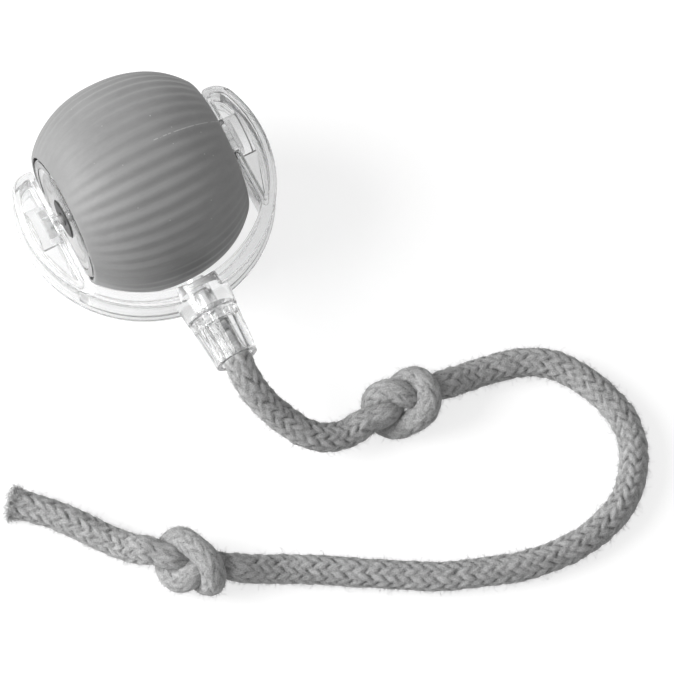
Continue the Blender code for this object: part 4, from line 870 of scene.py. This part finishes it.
# Yoke: one clear moulding that arches round the front of the ball. Its ears are pocketed
# from above and below round a web, with a keyed boss each, and a collar stands in front.
yoke_tint = (0.92, 0.923, 0.925)
yoke_haze = 0.07
yoke_sharp_edge = math.radians(24)
yoke_half_height = 4.8 * MM
yoke_front = 27.85 * MM
yoke_inner_radius = 24.4 * MM
yoke_inner_centre = 0.2 * MM
ear_inner_wall = 18.6 * MM
ear_outer_wall = 24.8 * MM
ear_shoulder = 6.0 * MM
ear_back = 10.5 * MM
ear_corner = 4.5 * MM
ear_inner_corner = 0.8 * MM
ear_wall = 1.3 * MM
rim_wall = 1.6 * MM
web_thickness = 1.2 * MM
pocket_front_wall = 0.7 * MM
groove_depth = 0.5 * MM
groove_half_width = 3.2 * MM
groove_flat = 2.8 * MM
groove_side = 0.3 * MM
groove_fade = 0.4 * MM
groove_slack = 0.1
edge_radius = 0.6 * MM
edge_margin = 0.05 * MM
edge_step = 0.12 * MM
edge_levels = 7
edge_passes = 6
outline_step = 0.3 * MM
outline_passes = 3
pocket_edge = 0.45 * MM
pocket_lip = math.radians(60)
pocket_levels = 6
lip_levels = 5
pocket_step = 0.2 * MM
pocket_passes = 8
boss_radius = 4.4 * MM
boss_start = 19.2 * MM
boss_end = 23.6 * MM
slot_end = 21.4 * MM
slot_half_length = 2.6 * MM
slot_half_height = 0.85 * MM
bore_radius = 1.5 * MM
bore_end = 21.1 * MM
boss_steps = 72
bore_steps = 48
collar_steps = 96
# The collar and its hollow, in millimetres along the stem and out from it.
collar_profile = [(31.3, 0), (31.3, 5.3), (25.2, 5.9), (25.2, 0)]
collar_hollow = [
    (32.3, 0), (32.3, 3.6), (30.0, 3.6), (30.0, 1.5), (26.1, 1.5), (26.1, 4.4), (23.4, 4.4), (23.4, 0)
]
overrun = 1.0 * MM
stem_droop = math.radians(5)

yoke_place = Matrix.Translation((0, 0, ball_height)) @ Matrix.Rotation(stem_droop, 4, "X")
stem_place = yoke_place @ Matrix.Rotation(-math.pi / 2, 4, "Z")
outer_centre = (yoke_front**2 - ear_shoulder**2 - ear_outer_wall**2) / (
    2 * (yoke_front + ear_shoulder)
)
outer_radius = yoke_front - outer_centre
corner_y = ear_back - ear_corner
corner_x = math.sqrt((outer_radius - ear_corner) ** 2 - (corner_y + outer_centre) ** 2)
corner_turn = math.atan2(corner_y + outer_centre, corner_x)
wall_meets = math.sqrt(yoke_inner_radius**2 - ear_inner_wall**2)


def arc(radius, centre, first, last, steps=40):
    """Points on a round arc from one angle to another."""
    turns = np.linspace(first, last, steps)
    return np.array(centre) + radius * np.array([np.cos(turns), np.sin(turns)]).T


def eased(points):
    """An open line with even points and its corners rounded off."""
    line = even_line(np.array(points), edge_step)
    for _ in range(edge_passes):
        line[1:-1] = line[1:-1] / 2 + (line[:-2] + line[2:]) / 4
    return line


def stacked(name, outline, levels, grooved=None):
    """A closed mesh over levels of one outline, each with its height, how far in it stands
    and how much of the groove it has."""
    ahead = np.roll(outline, -1, axis=0) - np.roll(outline, 1, axis=0)
    outwards = np.array([ahead[:, 1], -ahead[:, 0]]).T
    outwards /= np.linalg.norm(outwards, axis=1)[:, None]
    grooved = np.zeros(len(outline)) if grooved is None else grooved
    layers = [
        np.c_[outline - outwards * (inset + share * grooved)[:, None], np.full(len(outline), z)]
        for z, inset, share in levels
    ]
    corners = np.arange(len(outline) * len(layers)).reshape(len(layers), -1)
    caps = [corners[0, ::-1].tolist(), corners[-1].tolist()]
    return mesh_of(name, np.vstack(layers).tolist(), bands_of(*corners.shape) + caps)


def carved(body, operation, *tools):
    """A mesh joined with others, or cut by them."""
    together = bmesh.new()
    for tool in tools:
        together.from_mesh(tool)
    knife_mesh = bpy.data.meshes.new("knife")
    together.to_mesh(knife_mesh)
    together.free()
    holder = linked("holder", body)
    knife = linked("knife", knife_mesh)
    cutter = holder.modifiers.new("carve", "BOOLEAN")
    cutter.operation = operation
    cutter.solver = "MANIFOLD"
    cutter.object = knife
    mesh = plain_mesh(holder)
    bpy.data.objects.remove(knife)
    return mesh


inner_corner = (ear_inner_wall + ear_inner_corner, ear_back - ear_inner_corner)
inner_turn = math.atan2(-wall_meets, ear_inner_wall)
half = np.vstack([
    arc(outer_radius, (0, -outer_centre), -math.pi / 2, corner_turn, steps=80),
    arc(ear_corner, (corner_x, corner_y), corner_turn, math.pi / 2),
    arc(ear_inner_corner, inner_corner, math.pi / 2, math.pi),
    arc(yoke_inner_radius, (0, -yoke_inner_centre), inner_turn, -math.pi / 2, steps=60),
])
outline = softened(np.vstack([half, half[::-1] * (-1, 1)]), outline_step, outline_passes)
from_centre = np.linalg.norm(outline + (0, outer_centre), axis=1)
grooved = groove_depth * np.clip(1 + groove_slack + (from_centre - outer_radius) / groove_fade, 0, 1)
upper = [(0, 0, 1), (groove_flat, 0, 1)]
upper += [
    (groove_half_width + share * groove_side, 0, 0.5 - 0.5 * math.sin(share * math.pi / 2))
    for share in (-1, -0.6, -0.2, 0.2, 0.6, 1)
]
upper += [
    (yoke_half_height - edge_radius * (1 - math.sin(turn)), edge_radius * (1 - math.cos(turn)), 0)
    for turn in np.linspace(0, math.pi / 2, edge_levels)
]
upper += [(yoke_half_height, edge_radius + edge_margin, 0)]
levels = [(-z, inset, share) for z, inset, share in upper[:0:-1]] + upper
yoke_mesh = stacked("yoke", outline, levels, grooved)

pocket_front = wall_meets - pocket_front_wall
pocket_radius = outer_radius - rim_wall
pocket_wall = ear_inner_wall + ear_wall
front_turn = -math.asin((pocket_front - outer_centre) / pocket_radius)
pocket = np.vstack([
    arc(pocket_radius, (0, -outer_centre), front_turn, corner_turn, steps=60),
    arc(ear_corner - rim_wall, (corner_x, corner_y), corner_turn, math.pi / 2),
    [(pocket_wall, ear_back - rim_wall), (pocket_wall, -pocket_front)],
])
pocket = softened(pocket, pocket_step, pocket_passes)
above = [
    (web_thickness / 2 + pocket_edge * (1 - math.cos(turn)), pocket_edge * (1 - math.sin(turn)), 0)
    for turn in np.linspace(0, math.pi / 2, pocket_levels)
]
lip_start = yoke_half_height - pocket_edge * math.sin(pocket_lip)
above += [
    (lip_start + pocket_edge * math.sin(turn), -pocket_edge * (1 - math.cos(turn)), 0)
    for turn in np.linspace(0, pocket_lip, lip_levels)
]
above += [(yoke_half_height + overrun, above[-1][1], 0)]
below = [(-z, inset, share) for z, inset, share in above[::-1]]


def rod_profile(ends, radius):
    """The profile of a solid rod that lies on the axle between two places."""
    low, high = sorted(ends)
    return [(high, 0), (high, radius), (low, radius), (low, 0)]


bosses, slots, bores, pockets = [], [], [], []
for hand in (-1, 1):
    pocket_outline = pocket if hand > 0 else (pocket * (-1, 1))[::-1]
    pockets += [stacked("pocket", pocket_outline, above), stacked("pocket", pocket_outline, below)]
    boss = eased(rod_profile((hand * boss_start, hand * boss_end), boss_radius))
    bosses.append(turned_mesh("boss", boss, boss_steps))
    inside = hand * (ear_inner_wall - overrun)
    bore = rod_profile((inside, hand * bore_end), bore_radius)
    bores.append(turned_mesh("bore", bore, bore_steps))
    low, high = sorted((inside, hand * slot_end))
    front, back = -slot_half_length, slot_half_length
    slot = np.array([(low, front), (high, front), (high, back), (low, back)])
    slots.append(stacked("slot", slot, [(-slot_half_height, 0, 0), (slot_half_height, 0, 0)]))
to_stem = Matrix.Rotation(-math.pi / 2, 4, "Z")
collar = turned_mesh("collar", eased(np.array(collar_profile) * MM), collar_steps, to_stem)
hollow = turned_mesh("hollow", np.array(collar_hollow) * MM, collar_steps, to_stem)
yoke_mesh = carved(yoke_mesh, "DIFFERENCE", *pockets)
yoke_mesh = carved(yoke_mesh, "UNION", collar, *bosses)
yoke_mesh = carved(yoke_mesh, "DIFFERENCE", hollow, *slots)
yoke_mesh = carved(yoke_mesh, "DIFFERENCE", *bores)
yoke_mesh.transform(yoke_place)
yoke_mesh.materials.clear()
yoke_plastic = clear_finish("yoke_plastic", roughness=0.12, tint=yoke_tint, haze=yoke_haze)
yoke_mesh.materials.append(yoke_plastic)
yoke_mesh.shade_smooth()
yoke_mesh.set_sharp_from_angle(angle=yoke_sharp_edge)
yoke = linked("clear_yoke", yoke_mesh)
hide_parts("bracket")
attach(yoke, "carrier")

# Swivel: a steel screw runs through the yoke's collar into the cap, over a gray nylon
# washer, so that the cap and the rope turn freely while the yoke stays as it is.
finished("swivel_screw", turned_steel, "swivel")
gray_nylon = plastic("gray_nylon", dark=0.3, light=0.38, roughness=0.45)
finished("swivel_washer", gray_nylon, "swivel")

# Swivel cap: a clear fluted cap, wider at the yoke than at the rope, that grips the rope's
# end. Its twelve flutes fade out at both ends, and its edges are rounded.
# The cap's cross section, in millimetres along the stem and out from it.
cap_profile = [
    (30.3, 1.5), (30.3, 3.3), (31.6, 3.3), (31.6, 5.2),
    (41.5, 4.45), (41.5, 3.2), (33.2, 3.2), (33.2, 1.5),
]
cap_flutes = 12
samples_per_flute = 16
flute_sizes = {
    "Ribs": float(cap_flutes), "Depth": 0.5 * MM, "Middle": 36.55 * MM,
    "Half length": 4.9 * MM, "Axle height": 0.0, "Fade": 8.0,
}
cap_outline = softened(np.array(cap_profile) * MM, edge_step, edge_passes)
cap_blank = turned_mesh("cap_blank", cap_outline, samples_per_flute * cap_flutes)
cap_plastic = clear_finish("cap_plastic", roughness=0.05, tint=yoke_tint)
cap_mesh = ribbed("fluted_cap", cap_blank, cap_plastic, flute_sizes)
cap_mesh.transform(stem_place)
cap = linked("fluted_cap", cap_mesh)
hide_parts("swivel_cap")
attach(cap, "swivel")

# Table and light: a plain white table under a pale sky, and one wide soft lamp up on the
# left, so that the shadows fall to the right and towards the viewer.
floor_half = 1.2
floor_white = 0.75
floor_gray = 0.42
floor_glow = 0.725
mirrored_glow = 0.6
sky_level = 0.4
sky_seen = 0.98
room_levels = ((0.0, 0.55), (0.2, 0.65), (0.45, 0.96), (1.0, 1.0))
lamp_way = Vector((-0.8, 0.29, 0.58)).normalized()
lamp_distance = 0.9
lamp_width = 0.7
lamp_power = 10.0

floor_corners = [(x * floor_half, y * floor_half, 0) for x, y in ((-1, -1), (1, -1), (1, 1), (-1, 1))]
floor_mesh = mesh_of("table", floor_corners, [(0, 1, 2, 3)])
floor = linked("table", floor_mesh)


def kinds_of_ray(tree):
    """Two shares: the camera's own rays, and those that gloss or a clear piece sends on."""
    rays = node(tree, "ShaderNodeLightPath").outputs
    sent_on = sum_of(tree, "ADD", rays["Is Glossy Ray"], rays["Is Transmission Ray"], clamp=True)
    return rays["Is Camera Ray"], sent_on


paper, tree, shader = finish_of("white_table", roughness=0.9, Specular_IOR_Level=0.0)
looked_at, mirrored = kinds_of_ray(tree)
seen = sum_of(tree, "ADD", looked_at, mirrored, clamp=True)
tone = sum_of(tree, "ADD", floor_white, sum_of(tree, "MULTIPLY", seen, floor_gray - floor_white))
coloured(tree, shader, threefold(tree, tone))
glow = sum_of(tree, "MULTIPLY", looked_at, floor_glow)
glow = sum_of(tree, "ADD", glow, sum_of(tree, "MULTIPLY", mirrored, mirrored_glow))
glow = node(tree, "ShaderNodeEmission", {"Color": (1, 1, 1, 1), "Strength": glow})
both = node(tree, "ShaderNodeAddShader", {0: shader.outputs[0], 1: glow.outputs[0]})
tree.links.new(both.outputs[0], tree.nodes["Material Output"].inputs["Surface"])
floor_mesh.materials.append(paper)

world = bpy.data.worlds.new("pale_sky")
world.use_nodes = True
bpy.context.scene.world = world
tree = world.node_tree
way = node(tree, "ShaderNodeTexCoord").outputs["Generated"]
rise = node(tree, "ShaderNodeSeparateXYZ", {"Vector": way}).outputs["Z"]
room = ramp_of(tree, rise, *room_levels)
looked_at, mirrored = kinds_of_ray(tree)
level = sum_of(tree, "ADD", sky_level, sum_of(tree, "MULTIPLY", looked_at, sky_seen - sky_level))
colour = blended(tree, mirrored, threefold(tree, level), room)
tree.links.new(colour, tree.nodes["Background"].inputs["Color"])

lamp_data = bpy.data.lights.new("soft_lamp", "AREA")
lamp_data.shape = "DISK"
lamp_data.size = lamp_width
lamp_data.energy = lamp_power
lamp = linked("soft_lamp", lamp_data)
lamp_turn = lamp_way.to_track_quat("Z", "Y").to_matrix().to_4x4()
lamp.matrix_world = Matrix.Translation(lamp_way * lamp_distance) @ lamp_turn

bpy.context.scene.view_settings.view_transform = "Standard"
